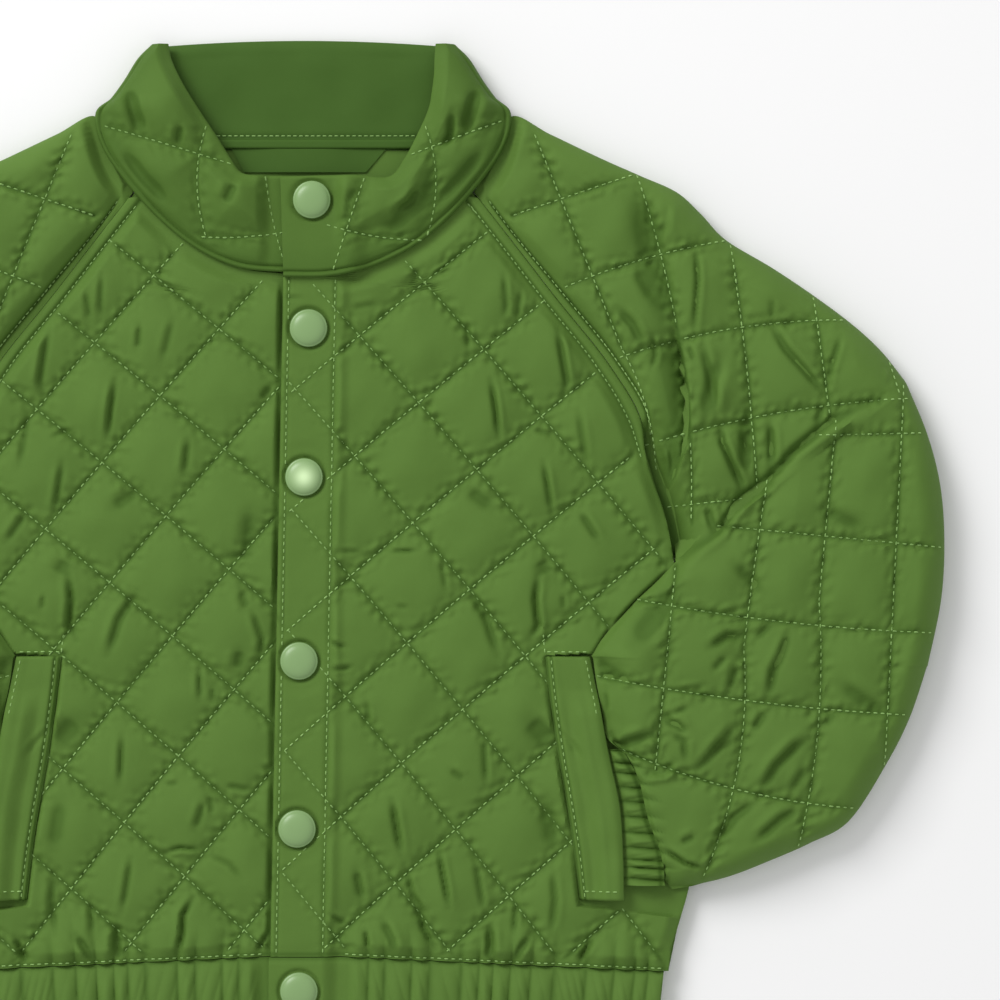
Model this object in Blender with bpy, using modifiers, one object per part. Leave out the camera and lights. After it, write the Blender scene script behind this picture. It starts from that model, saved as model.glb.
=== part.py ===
"""A toddler's diamond-quilted jacket with raglan sleeves, laid flat with its front up.

The jacket lies on its back panel in the XY plane, the collar towards +Y and the wearer's left
sleeve towards +X. Both forearms fold back over the sides, and the cuffs go in behind the
pocket welts. Every piece of cloth is a padded wall: the inner side is plain, and the quilting,
folds and gathers are raised in its outer points. Sizes and tables are in millimetres.
"""

from collections import namedtuple

import bmesh
import bpy
import numpy as np

MM = 0.001

# Heights and thicknesses of the layers
GAP = 0.3                 # between two pieces that touch
BACK_THICK = 4.0          # back panel, plain where it rests
SEAM_THICK = 2.4          # padded cloth where it is sewn down
PUFF = 4.2                # rise of the padding between the quilting seams
FRONT_FLOOR = BACK_THICK + GAP
OVERLAP_LIFT = SEAM_THICK + GAP + 0.1
SEAM_TOP = FRONT_FLOOR + SEAM_THICK
COLLAR_FLOOR = SEAM_TOP + GAP + 0.1
PRESSED_TOP = 7.2         # the fronts under the forearms, cuffs and welts
OVER_BODY = PRESSED_TOP + GAP
BACK_COLLAR_THICK = 5.0

# Lengths along the body
HEM_SEAM_Y = -169.6
HEM_SEAM_DROOP = 0.045
HEM_Y = -197.5
HEM_TAB_X = 15.0
NECK_Y = 103.5
BACK_NECK_Y = 153.5
COLLAR_TOP_Y = 197.5

# Front overlap
PLACKET_WIDTH = 21.0
PLACKET_MID_X = -10.6
PLACKET_LEAN = 0.019
PLACKET_MID_Y = -33.0
UNDERLAP = 20.0
OVERLAP_STEP = 1.2        # of the right front, past the left front's free edge

# Gathers
HEM_WAVE, HEM_WAVE_RISE = 10.5, 1.3
CUFF_WAVE, CUFF_WAVE_RISE = 6.6, 1.2

SNAP_RADIUS = 7.5
SNAP_RISE = 2.6
SNAP_SEAT_RADIUS = 11.0

GRID = 6.0                # spacing of the points that carry the relief

CLOTH_COLOUR = (0.098, 0.191, 0.032, 1.0)
LINING_COLOUR = (0.062, 0.130, 0.020, 1.0)
SNAP_COLOUR = (0.205, 0.350, 0.145, 1.0)

Place = namedtuple("Place", "at value")
Quilt = namedtuple("Quilt", "first_column lean first_row")
Seam = namedtuple("Seam", "x0 y0 x1 y1 bow")
Fold = namedtuple("Fold", "x0 y0 x1 y1 depth width")
SleeveRow = namedtuple(
    "SleeveRow", "inner_x inner_y outer_x outer_y inner_rise crown outer_crown")
CollarRow = namedtuple("CollarRow", "outer_x outer_y inner_x inner_y crown")
WeltRow = namedtuple("WeltRow", "y seam_x free_x")
CuffRow = namedtuple("CuffRow", "y seam_x")
SnapPlace = namedtuple("SnapPlace", "x y seat")

# Half width of the body: side seam up to the armhole, then the raglan seam to the neck
BODY_EDGE = [
    Place(-178, 146.2), Place(-167.6, 147.2), Place(-155.6, 150.8), Place(-141.6, 154.6),
    Place(-100, 155.2), Place(-50, 151.8), Place(-10.4, 148.4), Place(10.4, 144.0),
    Place(19.2, 140.8), Place(29.2, 137.6), Place(46.8, 134.8), Place(66.8, 123.0),
    Place(94.8, 100.8), Place(116.0, 84.4), Place(136.4, 68.4),
]
RAGLAN_TOP_Y = 136.4

# Neck seam: its height over the half width, and its half width over the height
NECK_HEIGHT = [
    Place(0, 103.5), Place(8, 104.0), Place(27.6, 108.0), Place(45.6, 117.2),
    Place(63.6, 133.2), Place(78.8, 153.2), Place(82.8, 167.0),
]
NECK_HALF_WIDTH = [
    Place(103.5, -1.0), Place(104.0, 8.0), Place(108.0, 27.6), Place(117.2, 45.6),
    Place(133.2, 63.6), Place(153.2, 78.8), Place(167.0, 82.8),
]

# Left border of what lies on the left front, and presses it flat
PRESSED_FROM = [
    Place(-160, 175), Place(-154, 103), Place(-116, 98), Place(-66, 90), Place(-44, 89),
    Place(-40, 113), Place(-27, 125), Place(-10, 143), Place(4, 165),
]

# Diamond quilting of the body
DIAMOND_HALF_WIDTH = 23.9
DIAMOND_TAPER = 0.0098
DIAMOND_HEIGHT = 48.4
CELLS = 3                 # steps of the grid from one crossing of seams to the next
ROW_DROOP = 0.11
QUILT_MID_Y = -39.0
LEFT_QUILT = Quilt(-6.0, 0.029, 57.3)
RIGHT_QUILT = Quilt(4.8, 0.032, 61.3)

# Quilting seams of a sleeve, as bowed lines: those down the sleeve's plan and those across
UPPER_DOWN = [
    Seam(92.4, 160, 127.6, 73.6, 0), Seam(127.6, 73.6, 141.5, 26, 3),
    Seam(133.2, 144, 154.4, 4, -5.4), Seam(170.8, 116, 181.6, 18, -1),
    Seam(203.5, 98, 210.5, 46, 0), Seam(231, 80, 238, 56, 0),
]
UPPER_ACROSS = [
    Seam(83.6, 127, 133.2, 143.6, 0), Seam(104, 98, 168.8, 116.8, 2),
    Seam(127, 66, 238, 86, 7), Seam(136.5, 35, 250, 54, 4), Seam(143, 10, 178, 14, 0),
]
FOREARM_DOWN = [
    Seam(149, -13, 140.8, -94, 0), Seam(185.8, 22, 159.6, -138, 4.3),
    Seam(212, 46, 197.2, -128, 1.4), Seam(240, 60, 232, -98, 0),
]
FOREARM_ACROSS = [
    Seam(205, 39, 250, 40, 0), Seam(160, 2, 258, -6, -1), Seam(133, -26.5, 258, -40, -2.5),
    Seam(117, -57, 250, -73, -2.5), Seam(122, -84, 224, -110, -5),
]
SLEEVE_FOLDS = [
    Fold(146, 78, 149, 26, 4.0, 6.0), Fold(166, 70, 160, 46, 1.6, 2.6),
    Fold(178, 52, 176, 22, 1.8, 2.6), Fold(150, -22, 132, -44, 1.6, 4.0),
    Fold(128, -78, 142, -84, 2.0, 3.0), Fold(150, -118, 134, -96, 1.8, 3.5),
    Fold(168, -128, 150, -120, 1.6, 3.5),
]
COLLAR_SEAMS = {
    "left": [Seam(24.8, 142.4, 12, 105, 0), Seam(9, 123.4, 47, 117.2, -1.5),
             Seam(48.8, 163.2, 49.6, 119, 4), Seam(34.8, 148, 80, 165, 0)],
    "right": [Seam(38.4, 163.2, 38.8, 118.6, 3.5), Seam(80, 163, 29.2, 147.6, 0),
              Seam(15.2, 143.2, 6.4, 105, 1), Seam(7.2, 120.4, 40, 118.4, -1)],
}

# A sleeve from the neck to the crease inside its elbow: a row for each section across it
UPPER_SLEEVE = [
    SleeveRow(69.0, 136.9, 70.6, 140.5, 2.0, 4.0, 4.0),
    SleeveRow(76.4, 127.0, 77.6, 151.0, 2.0, 8.5, 8.5),
    SleeveRow(84.8, 116.2, 83.4, 167.0, 2.0, 11.0, 11.0),
    SleeveRow(93.0, 105.6, 99.0, 159.8, 2.0, 12.5, 12.5),
    SleeveRow(101.2, 95.0, 119.6, 150.0, 2.0, 14.0, 14.0),
    SleeveRow(109.9, 84.4, 135.0, 143.2, 2.0, 14.5, 14.5),
    SleeveRow(118.0, 74.4, 149.6, 136.6, 2.0, 15.0, 15.0),
    SleeveRow(123.6, 66.8, 159.2, 128.0, 2.0, 15.0, 15.0),
    SleeveRow(129.8, 57.5, 169.4, 117.4, 2.0, 15.0, 15.0),
    SleeveRow(135.4, 46.8, 188.0, 106.2, 1.5, 15.0, 15.5),
    SleeveRow(138.1, 29.6, 205.0, 94.8, 1.0, 15.0, 16.0),
    SleeveRow(141.3, 19.4, 220.0, 83.6, 1.0, 14.5, 17.0),
    SleeveRow(144.7, 10.0, 231.5, 73.0, 1.0, 14.0, 17.5),
    SleeveRow(148.8, -9.4, 240.8, 61.4, 2.0, 13.0, 18.0),
]
# The forearm from that crease to the cuff seam, lying on the sleeve and the body
FOREARM = [
    SleeveRow(149.2, -11.4, 242.0, 59.4, 1.5, 17.5, 18.0),
    SleeveRow(141.5, -19.5, 250.0, 40.0, 2.0, 19.0, 18.5),
    SleeveRow(133.6, -26.8, 255.2, 20.0, 2.0, 20.0, 18.5),
    SleeveRow(128.0, -33.0, 257.0, -2.0, 2.0, 20.0, 18.5),
    SleeveRow(122.0, -39.5, 255.8, -26.0, 2.0, 20.5, 18.5),
    SleeveRow(117.0, -47.8, 250.8, -50.8, 2.0, 20.5, 18.5),
    SleeveRow(118.8, -60.0, 243.5, -73.0, 3.0, 20.5, 18.5),
    SleeveRow(121.4, -73.0, 234.8, -90.8, 4.0, 20.0, 18.5),
    SleeveRow(124.2, -82.0, 219.0, -115.2, 6.0, 19.0, 18.0),
    SleeveRow(129.6, -89.4, 203.0, -124.4, 6.0, 18.5, 17.5),
    SleeveRow(134.4, -99.4, 188.0, -131.0, 6.0, 18.0, 17.0),
    SleeveRow(137.8, -113.8, 171.6, -137.4, 6.0, 17.0, 16.5),
    SleeveRow(143.0, -128.2, 157.2, -141.0, 5.0, 15.0, 15.0),
    SleeveRow(144.0, -138.0, 147.6, -142.6, 3.0, 11.5, 11.5),
]
ROWS_BETWEEN = 2
OUTER_RIM = (3.0, 5.4)    # heights of the rounded outer fold of a sleeve
OUTER_ROUND = 12.0
INNER_ROUND = 9.0
SPREAD_ONTO_FLOOR = (1.2, 9.0)

# Half of the collar from the front overlap to the fold at its side
COLLAR = [
    CollarRow(-7.8, 102.4, -9.0, 142.6, 0.0), CollarRow(10.5, 102.7, 9.0, 143.0, 0.0),
    CollarRow(28.2, 106.9, 22.5, 143.0, 0.6), CollarRow(46.6, 116.4, 34.5, 142.6, 1.2),
    CollarRow(64.6, 132.8, 40.5, 149.6, 2.0), CollarRow(79.6, 152.8, 46.5, 161.0, 2.6),
    CollarRow(83.2, 167.6, 50.3, 170.0, 3.2), CollarRow(77.0, 174.6, 51.5, 176.4, 3.2),
    CollarRow(72.0, 181.5, 52.3, 183.0, 2.6), CollarRow(66.6, 190.0, 52.6, 190.2, 1.8),
    CollarRow(61.0, 195.6, 53.0, 195.8, 0.6),
]
# Inner ends of the same rows on the right half, which lies further in above the neck
RIGHT_COLLAR_INNER = [
    (-9.0, 142.6), (9.0, 143.0), (16.0, 143.0), (24.4, 144.0), (29.0, 150.0), (34.0, 158.0),
    (41.0, 168.5), (46.8, 177.6), (50.5, 184.5), (53.0, 190.4), (54.0, 195.8),
]
COLLAR_ON_BODY_ROWS = 7
COLLAR_STEPS = 3
TAPE_ENDS = (-40, 47)     # both under the edges of the collar
BACK_COLLAR_HALF_WIDTH = 55.0

WELT = [
    WeltRow(-49.4, 97.0, 114.8), WeltRow(-66.0, 98.8, 118.2), WeltRow(-88.0, 102.0, 122.2),
    WeltRow(-110.0, 105.8, 126.8), WeltRow(-128.0, 108.6, 128.0), WeltRow(-147.0, 110.8, 128.4),
]
WELT_THICK = 2.6
WELT_LIFT = 3.2           # of the free edge, over the cuff
CUFF = [
    CuffRow(-86.5, 126.6), CuffRow(-99.4, 133.6), CuffRow(-113.8, 137.0),
    CuffRow(-128.2, 142.2), CuffRow(-141.5, 143.4),
]
CUFF_TUCK = 3.5           # of the cuff under the welt's free edge
CUFF_TOP = 13.0

SNAPS = [
    SnapPlace(3.6, 133.2, 12.2), SnapPlace(2.2, 82.0, 9.5), SnapPlace(0.4, 22.4, 9.5),
    SnapPlace(-1.6, -51.2, 9.5), SnapPlace(-2.4, -118.4, 9.5), SnapPlace(-1.6, -183.2, 10.4),
]


# ---- Shapes of curves and relief -------------------------------------------------------------

def curve(rows, at):
    """Smooth values along a table of places and values, by cubic pieces."""
    places, values = np.array(rows, float).T
    slopes = np.gradient(values, places)
    i = np.clip(np.searchsorted(places, at) - 1, 0, len(places) - 2)
    width = places[i + 1] - places[i]
    rise = values[i + 1] - values[i]
    t = np.clip((at - places[i]) / width, 0, 1)
    start = slopes[i] * width - rise
    end = rise - slopes[i + 1] * width
    return values[i] + t * rise + t * (1 - t) * (start * (1 - t) + end * t)


def smooth(t):
    t = np.clip(t, 0, 1)
    return t * t * (3 - 2 * t)


def rounded(t):
    """A quarter of an ellipse, from 0 up to 1."""
    return np.sqrt(1 - (1 - np.clip(t, 0, 1)) ** 2)


def pillow(first, second):
    """Height between two families of seams, given how far each is, in seam pitches."""
    return (np.abs(np.sin(np.pi * first)) * np.abs(np.sin(np.pi * second))) ** 0.55


def distance_to(line, x, y):
    """Distance to a straight or bowed line between its two ends."""
    along_x, along_y = line.x1 - line.x0, line.y1 - line.y0
    length = np.hypot(along_x, along_y)
    t = np.clip(((x - line.x0) * along_x + (y - line.y0) * along_y) / length ** 2, 0, 1)
    bow = getattr(line, "bow", 0) * 4 * t * (1 - t) / length
    return np.hypot(x - line.x0 - t * along_x + bow * along_y,
                    y - line.y0 - t * along_y - bow * along_x)


def nearest(lines, x, y):
    return np.min([distance_to(line, x, y) for line in lines], axis=0)


def seam_pillow(down, across, x, y, reach):
    """Height of the padding between hand-placed seams, full at the reach from them."""
    first = np.clip(nearest(down, x, y) / reach, 0, 1) / 2
    second = np.clip(nearest(across, x, y) / reach, 0, 1) / 2
    return pillow(first, second)


def fold_depth(folds, x, y):
    depth = np.zeros_like(x)
    for fold in folds:
        depth += fold.depth * np.exp(-(distance_to(fold, x, y) / fold.width) ** 2)
    return depth


def gathers(along, wave):
    """Uneven waves of an elastic's gathers, between 0 and 1."""
    return 0.5 + 0.5 * np.sin(2 * np.pi * along / wave + 1.1 * np.sin(along / (1.7 * wave)))


def body_edge(y):
    return np.where(y > RAGLAN_TOP_Y, curve(NECK_HALF_WIDTH, y), curve(BODY_EDGE, y))


def hem_seam(x):
    return HEM_SEAM_Y - HEM_SEAM_DROOP * np.maximum(np.abs(x) - HEM_TAB_X, 0)


def neck_distance(x, y):
    """Distance to the neck seam."""
    across = np.linspace(0, NECK_HEIGHT[-1].at, 140)
    height = curve(NECK_HEIGHT, across)
    x, y = np.asarray(x, float), np.asarray(y, float)
    away = np.hypot(np.abs(x)[..., None] - across, y[..., None] - height)
    return away.min(axis=-1)


def placket_edge(y):
    """Free edge of the wearer's left front."""
    return PLACKET_MID_X + PLACKET_LEAN * (y - PLACKET_MID_Y)


# ---- Building meshes --------------------------------------------------------------------------

def zip_faces(first, second, points, valley=0.0):
    """Triangles between two runs of points, each step by the shorter or the lower diagonal."""
    faces = []
    i, j = 0, 0
    while i < len(first) - 1 or j < len(second) - 1:
        costs = [np.inf, np.inf]
        if i < len(first) - 1:
            ends = points[first[i + 1]], points[second[j]]
            costs[0] = np.linalg.norm(ends[0] - ends[1]) + valley * (ends[0][2] + ends[1][2])
        if j < len(second) - 1:
            ends = points[second[j + 1]], points[first[i]]
            costs[1] = np.linalg.norm(ends[0] - ends[1]) + valley * (ends[0][2] + ends[1][2])
        if costs[0] <= costs[1]:
            faces.append((first[i], first[i + 1], second[j]))
            i += 1
        else:
            faces.append((first[i], second[j + 1], second[j]))
            j += 1
    return faces


def loft(name, sections, material, collection):
    """A closed wall: each section is an outer run of points and the inner run under it."""
    points, outers, inners = [], [], []
    for outer, inner in sections:
        outers.append(range(len(points), len(points) + len(outer)))
        points.extend(outer)
        inners.append(range(len(points), len(points) + len(inner)))
        points.extend(inner)
    points = np.array(points, float)
    faces = []
    for one, two in zip(outers, outers[1:]):
        faces += zip_faces(one, two, points, valley=0.5)
    for one, two in zip(inners, inners[1:]):
        faces += zip_faces(one, two, points)
    for end in (0, -1):
        rims = [outers[k][end] for k in range(len(outers))]
        feet = [inners[k][end] for k in range(len(inners))]
        faces += zip_faces(rims, feet, points)
        faces += zip_faces(outers[end], inners[end], points)
    mesh = bpy.data.meshes.new(name)
    mesh.from_pydata([tuple(point) for point in points * MM], [], faces)
    cloth = bmesh.new()
    cloth.from_mesh(mesh)
    bmesh.ops.recalc_face_normals(cloth, faces=cloth.faces)
    cloth.to_mesh(mesh)
    cloth.free()
    mesh.shade_smooth()
    mesh.materials.append(material)
    piece = bpy.data.objects.new(name, mesh)
    collection.objects.link(piece)
    return piece


def run(x, y, z, sign=1):
    """A run of points, mirrored to the wearer's right side where the sign is -1."""
    x, y, z = np.broadcast_arrays(np.asarray(x, float), y, z)
    return np.column_stack([sign * x, y, z])


def between(rows, steps):
    """The rows of a table with smooth ones put in between."""
    table = np.array(rows, float)
    places = np.arange(len(table))
    fine = np.linspace(0, len(table) - 1, (len(table) - 1) * steps + 1)
    columns = [curve(list(zip(places, column)), fine) for column in table.T]
    return [type(rows[0])(*values) for values in zip(*columns)]


# ---- Materials --------------------------------------------------------------------------------

def material(name, colour, roughness):
    new = bpy.data.materials.new(name)
    new.use_nodes = True
    shader = new.node_tree.nodes["Principled BSDF"]
    shader.inputs["Base Color"].default_value = colour
    shader.inputs["Roughness"].default_value = roughness
    shader.inputs["Metallic"].default_value = 0.0
    return new


def quilted_cloth(name):
    return material("quilted_cloth_" + name, CLOTH_COLOUR, 0.55)


def plain_lining(name):
    return material("plain_lining_" + name, LINING_COLOUR, 0.62)


def snap_enamel(name):
    return material("snap_enamel_" + name, SNAP_COLOUR, 0.28)


# ---- Body -------------------------------------------------------------------------------------

def back_panel(collection):
    below = np.linspace(hem_seam(146), -16, 9)
    beside_sleeve = np.linspace(-10, BACK_NECK_Y, 34)
    heights = [*below, *beside_sleeve]
    sections = []
    for y in heights:
        half = float(body_edge(y)) - (0 if y < RAGLAN_TOP_Y else 1.2)
        across = np.array([-half, 0, half])
        sections.append((run(across, y, BACK_THICK), run(across, y, 0.0)))
    loft("back_panel", sections, quilted_cloth("back_panel"), collection)


def diamonds(quilt, x, y):
    """Places among the two families of diagonal seams, whole numbers on the seams."""
    column_width = DIAMOND_HALF_WIDTH + DIAMOND_TAPER * (y - QUILT_MID_Y)
    column = (x - quilt.first_column - quilt.lean * (y - QUILT_MID_Y)) / column_width
    row = (quilt.first_row - ROW_DROOP * x - y) / DIAMOND_HEIGHT
    return row + column / 2, row - column / 2


def snap_seat(x, y):
    """1 on the flat seats of the snaps, 0 away from them."""
    seats = [1 - smooth((np.hypot(x - s.x, y - s.y) - SNAP_SEAT_RADIUS) / 5) for s in SNAPS]
    return np.max(seats, axis=0)


def front_floor(left, x, y):
    """Height of a front's inner side: the left one climbs over the right one's edge."""
    if not left:
        return np.full_like(x, FRONT_FLOOR)
    past = (x - placket_edge(y) - PLACKET_WIDTH) / 7
    return FRONT_FLOOR + OVERLAP_LIFT * (1 - smooth(past))


def front_rise(left, x, y):
    """Rise of a front's outer side over its sewn-down thickness."""
    rise = PUFF * pillow(*diamonds(LEFT_QUILT if left else RIGHT_QUILT, x, y))
    over_hem = y - hem_seam(x)
    edges = np.minimum((body_edge(y) - x) * 0.8, over_hem)
    rise *= smooth(edges / 8) * smooth((neck_distance(x, y) - 4.5) / 6)
    pressed = smooth((x - np.interp(y, *np.array(PRESSED_FROM).T)) / 6)
    rise *= 1 - 0.93 * pressed
    if left:
        placket = 1 - smooth((x - placket_edge(y) - PLACKET_WIDTH) / 6)
        rise = rise * (1 - 0.8 * placket) * (1 - snap_seat(x, y))
    else:
        rise *= smooth((x + placket_edge(y) - OVERLAP_STEP) / 6)
    folded = np.clip(1 - over_hem / 22, 0, 1) * smooth((x - 14) / 6) * (1 - pressed)
    return rise + HEM_WAVE_RISE * folded * gathers(x, HEM_WAVE)


def row_height(height, x):
    """Height along a row of points: it follows the hem seam, and above it the quilting."""
    blend = smooth((height - HEM_SEAM_Y) / 20)
    return height + (hem_seam(x) - HEM_SEAM_Y) * (1 - blend) - ROW_DROOP * x * blend


def front_panel(left, collection):
    quilt = LEFT_QUILT if left else RIGHT_QUILT
    sample = np.arange(-16, 160, 0.1)
    row_step = DIAMOND_HEIGHT / (2 * CELLS)
    lattice_rows = quilt.first_row + row_step * np.arange(-40, 20)
    lattice_rows = lattice_rows[(lattice_rows > HEM_SEAM_Y + 19) & (lattice_rows < 143)]
    hem_rows = HEM_SEAM_Y + np.array([0.0, 2.5, 6.0, 11.0, 16.0])
    sections = []
    neck_rows = lattice_rows[np.abs(lattice_rows - NECK_Y - 6) < 10] + row_step / 2
    for height in sorted([*hem_rows, *lattice_rows, *neck_rows]):
        y = row_height(height, sample)
        near = placket_edge(y) if left else -placket_edge(y) - UNDERLAP
        start = np.where(y < NECK_Y, near, np.maximum(curve(NECK_HALF_WIDTH, y), near))
        inside = sample[(sample >= start) & (sample <= curve(BODY_EDGE, y))]
        if len(inside) < 30:
            continue
        first, last = inside[0], inside[-1]
        if height < HEM_SEAM_Y + 12:
            xs = np.linspace(first, last, 46)
        else:
            width = (DIAMOND_HALF_WIDTH + DIAMOND_TAPER * (height - QUILT_MID_Y)) / CELLS
            origin = quilt.first_column + quilt.lean * (height - QUILT_MID_Y)
            xs = origin + width * np.arange(-10, 40)
            xs = xs[(xs > first + 2.5) & (xs < last - 6.5)]
            edge = float(placket_edge(height))
            step = edge + PLACKET_WIDTH if left else OVERLAP_STEP - edge
            xs = np.array([first, step, *xs[np.abs(xs - step) > 2], last - 4.5, last - 1.5, last])
            xs = np.unique(xs[(xs >= first) & (xs <= last)])
        y = row_height(height, xs)
        floor = front_floor(left, xs, y)
        top = floor + SEAM_THICK + front_rise(left, xs, y)
        climb = float(placket_edge(height)) + PLACKET_WIDTH + np.array([-0.5, 3.5, 7.5])
        bends = climb if left else np.array([HEM_TAB_X])
        under = np.array([first, *bends[(bends > first + 2) & (bends < last - 2)], last])
        under_y = row_height(height, under)
        side = 1 if left else -1
        sections.append((run(xs, y, top, side),
                         run(under, under_y, front_floor(left, under, under_y), side)))
    name = "front_left" if left else "front_right"
    return loft(name, sections, quilted_cloth(name), collection)


def hem_band(left, collection):
    """Front half of the elastic band: flat at the overlap, gathered from there to the side."""
    side = 1 if left else -1
    first = float(placket_edge(HEM_Y)) if left else -float(placket_edge(HEM_Y)) - UNDERLAP
    sections = []
    for x in np.arange(first, 144.5, 3.1):
        lean = (x - first) / (144.5 - first)
        top_y = hem_seam(x) - GAP
        drop = np.array([0.0, 2.0, 8.0, 15.0, 21.0, 25.0, 26.8]) / 26.8
        ys = top_y + (HEM_Y - top_y) * drop
        xs = x - 2.5 * lean * drop
        floor = front_floor(left, np.array([x]), np.array([HEM_Y]))[0]
        pleat = HEM_WAVE_RISE * gathers(x, HEM_WAVE) * smooth((x - 16) / 6)
        body = np.array([0.0, 0.8, 1.5, 1.7, 1.5, 0.7, -1.0])
        tab_end = 16 if left else 2 - placket_edge(HEM_Y)
        flat = 1 - smooth((x - tab_end) / 6)
        swell = body + pleat * np.sin(np.pi * np.clip(drop, 0.06, 0.96))
        top = floor + SEAM_THICK + swell * (1 - flat) + np.minimum(body, 0.9 if left else 0) * flat
        sections.append((run(xs, ys, top, side), run(xs[[0, -1]], ys[[0, -1]], floor, side)))
    name = "hem_band_left" if left else "hem_band_right"
    return loft(name, sections, quilted_cloth(name), collection)


def hem_band_back(collection):
    sections = []
    for x in np.linspace(-143.5, 143.5, 15):
        ys = [hem_seam(146) - GAP, HEM_Y]
        lean = -1.5 * np.sign(x) * (abs(x) > 140)
        sections.append((run([x, x + lean], ys, BACK_THICK), run([x, x + lean], ys, 0.0)))
    loft("hem_band_back", sections, quilted_cloth("hem_band_back"), collection)


# ---- Sleeves ----------------------------------------------------------------------------------

def sleeve_floor(forearm, x, y):
    """Underside of a sleeve: on the floor, and on the front where the forearm crosses it."""
    if not forearm:
        return np.zeros_like(x)
    near, far = SPREAD_ONTO_FLOOR
    past = (x - curve(BODY_EDGE, y) - near) / (far - near)
    return OVER_BODY * (1 - smooth(past))


def sleeve_section(row, forearm, sign):
    width = np.hypot(row.outer_x - row.inner_x, row.outer_y - row.inner_y)
    count = max(3, int(round((width - 12) / GRID)) + 1)
    inner = [0, 1.5, 4.0]
    outer = [width - 5.0, width - 2.0, width - 0.5, width]
    if width < 14:
        places = np.linspace(0, width, 5)
    else:
        places = np.array([*inner, *np.linspace(8, width - 9, count), *outer])
    t = places / width
    x = row.inner_x + (row.outer_x - row.inner_x) * t
    y = row.inner_y + (row.outer_y - row.inner_y) * t
    floor = sleeve_floor(forearm, x, y)
    down, across = (FOREARM_DOWN, FOREARM_ACROSS) if forearm else (UPPER_DOWN, UPPER_ACROSS)
    full = np.minimum(places / INNER_ROUND, (width - places) / OUTER_ROUND)
    puff = (PUFF * (seam_pillow(down, across, x, y, 15.0) - 0.5)
            - fold_depth(SLEEVE_FOLDS, x, y)) * smooth(full)
    start = floor[0] + SEAM_THICK + row.inner_rise
    end = OUTER_RIM[1]
    crown = row.crown + (row.outer_crown - row.crown) * smooth((t - 0.3) / 0.45)
    top = start + (crown - start) * rounded(places / (1.6 * INNER_ROUND))
    top = np.minimum(top, end + (crown - end) * rounded((width - places) / OUTER_ROUND))
    top = np.maximum(top + puff, floor + 1.2)
    if not forearm:
        in_neck = 1 - smooth((neck_distance(x, y) - 3) / 5)
        top += (np.minimum(top, SEAM_TOP - 0.3) - top) * in_neck
    # The rounded outer fold leaves the floor a little way in from the outline.
    lifts = np.array([0, 0, OUTER_RIM[0]])
    ends = [0, width - 4.0, width] if width > 14 else [0, 0.7 * width, width]
    if forearm and width > 14:
        ends = [0, *slope_places(row, width), width - 4.0, width]
        lifts = np.array([0.0] * (len(ends) - 1) + [OUTER_RIM[0]])
    under_t = np.array(ends) / width
    under_x = row.inner_x + (row.outer_x - row.inner_x) * under_t
    under_y = row.inner_y + (row.outer_y - row.inner_y) * under_t
    under = np.maximum(sleeve_floor(forearm, under_x, under_y), lifts)
    return run(x, y, top, sign), run(under_x, under_y, under, sign)


def slope_places(row, width):
    """Places along a section where its underside bends down past the body's edge."""
    t = np.linspace(0, 1, 160)
    y = row.inner_y + (row.outer_y - row.inner_y) * t
    past = row.inner_x + (row.outer_x - row.inner_x) * t - curve(BODY_EDGE, y)
    near, far = SPREAD_ONTO_FLOOR
    bends = np.array([near, near + 0.3 * (far - near), near + 0.7 * (far - near), far])
    bends = bends[(bends > past[0]) & (bends < past[-1])]
    places = np.interp(bends, past, t) * width
    return places[(places > 1.5) & (places < width - 5.5)]


def on_raglan(row):
    """The same section with its inner end just outside the body's raglan seam."""
    return row._replace(inner_x=float(curve(BODY_EDGE, row.inner_y)) + GAP + 0.4)


def sleeve(left, collection):
    sign = 1 if left else -1
    name = "sleeve_left" if left else "sleeve_right"
    sections = [sleeve_section(on_raglan(row), False, sign)
                for row in between(UPPER_SLEEVE, ROWS_BETWEEN)]
    sections += [sleeve_section(row, True, sign) for row in between(FOREARM, ROWS_BETWEEN)]
    return loft(name, sections, quilted_cloth(name), collection)


def column(rows, name):
    """One column of a table over its heights, lowest first."""
    return sorted(Place(row.y, getattr(row, name)) for row in rows)


def cuff(left, collection):
    """The gathered cuff, thin where it goes in under the welt's free edge."""
    sign = 1 if left else -1
    tucked = OVER_BODY + WELT_LIFT - GAP - 0.6
    sections = []
    for y in np.arange(CUFF[0].y, CUFF[-1].y, -1.65):
        free = float(curve(column(WELT, "free_x"), y))
        seam = float(curve(column(CUFF, "seam_x"), y)) - GAP
        beside = free + (seam - free) * np.array([0.35, 0.7, 1.0])
        xs = np.array([free - CUFF_TUCK, free + 0.4, *beside])
        swell = np.array([0.0, 0.0, 0.85, 1.0, 0.7])
        wave = CUFF_WAVE_RISE * (gathers(y, CUFF_WAVE) - 0.4) * (swell > 0)
        top = tucked + (CUFF_TOP - tucked) * swell + wave
        sections.append((run(xs, y, top, sign), run(xs[[0, -1]], y, OVER_BODY, sign)))
    name = "cuff_left" if left else "cuff_right"
    return loft(name, sections, quilted_cloth(name), collection)


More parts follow.
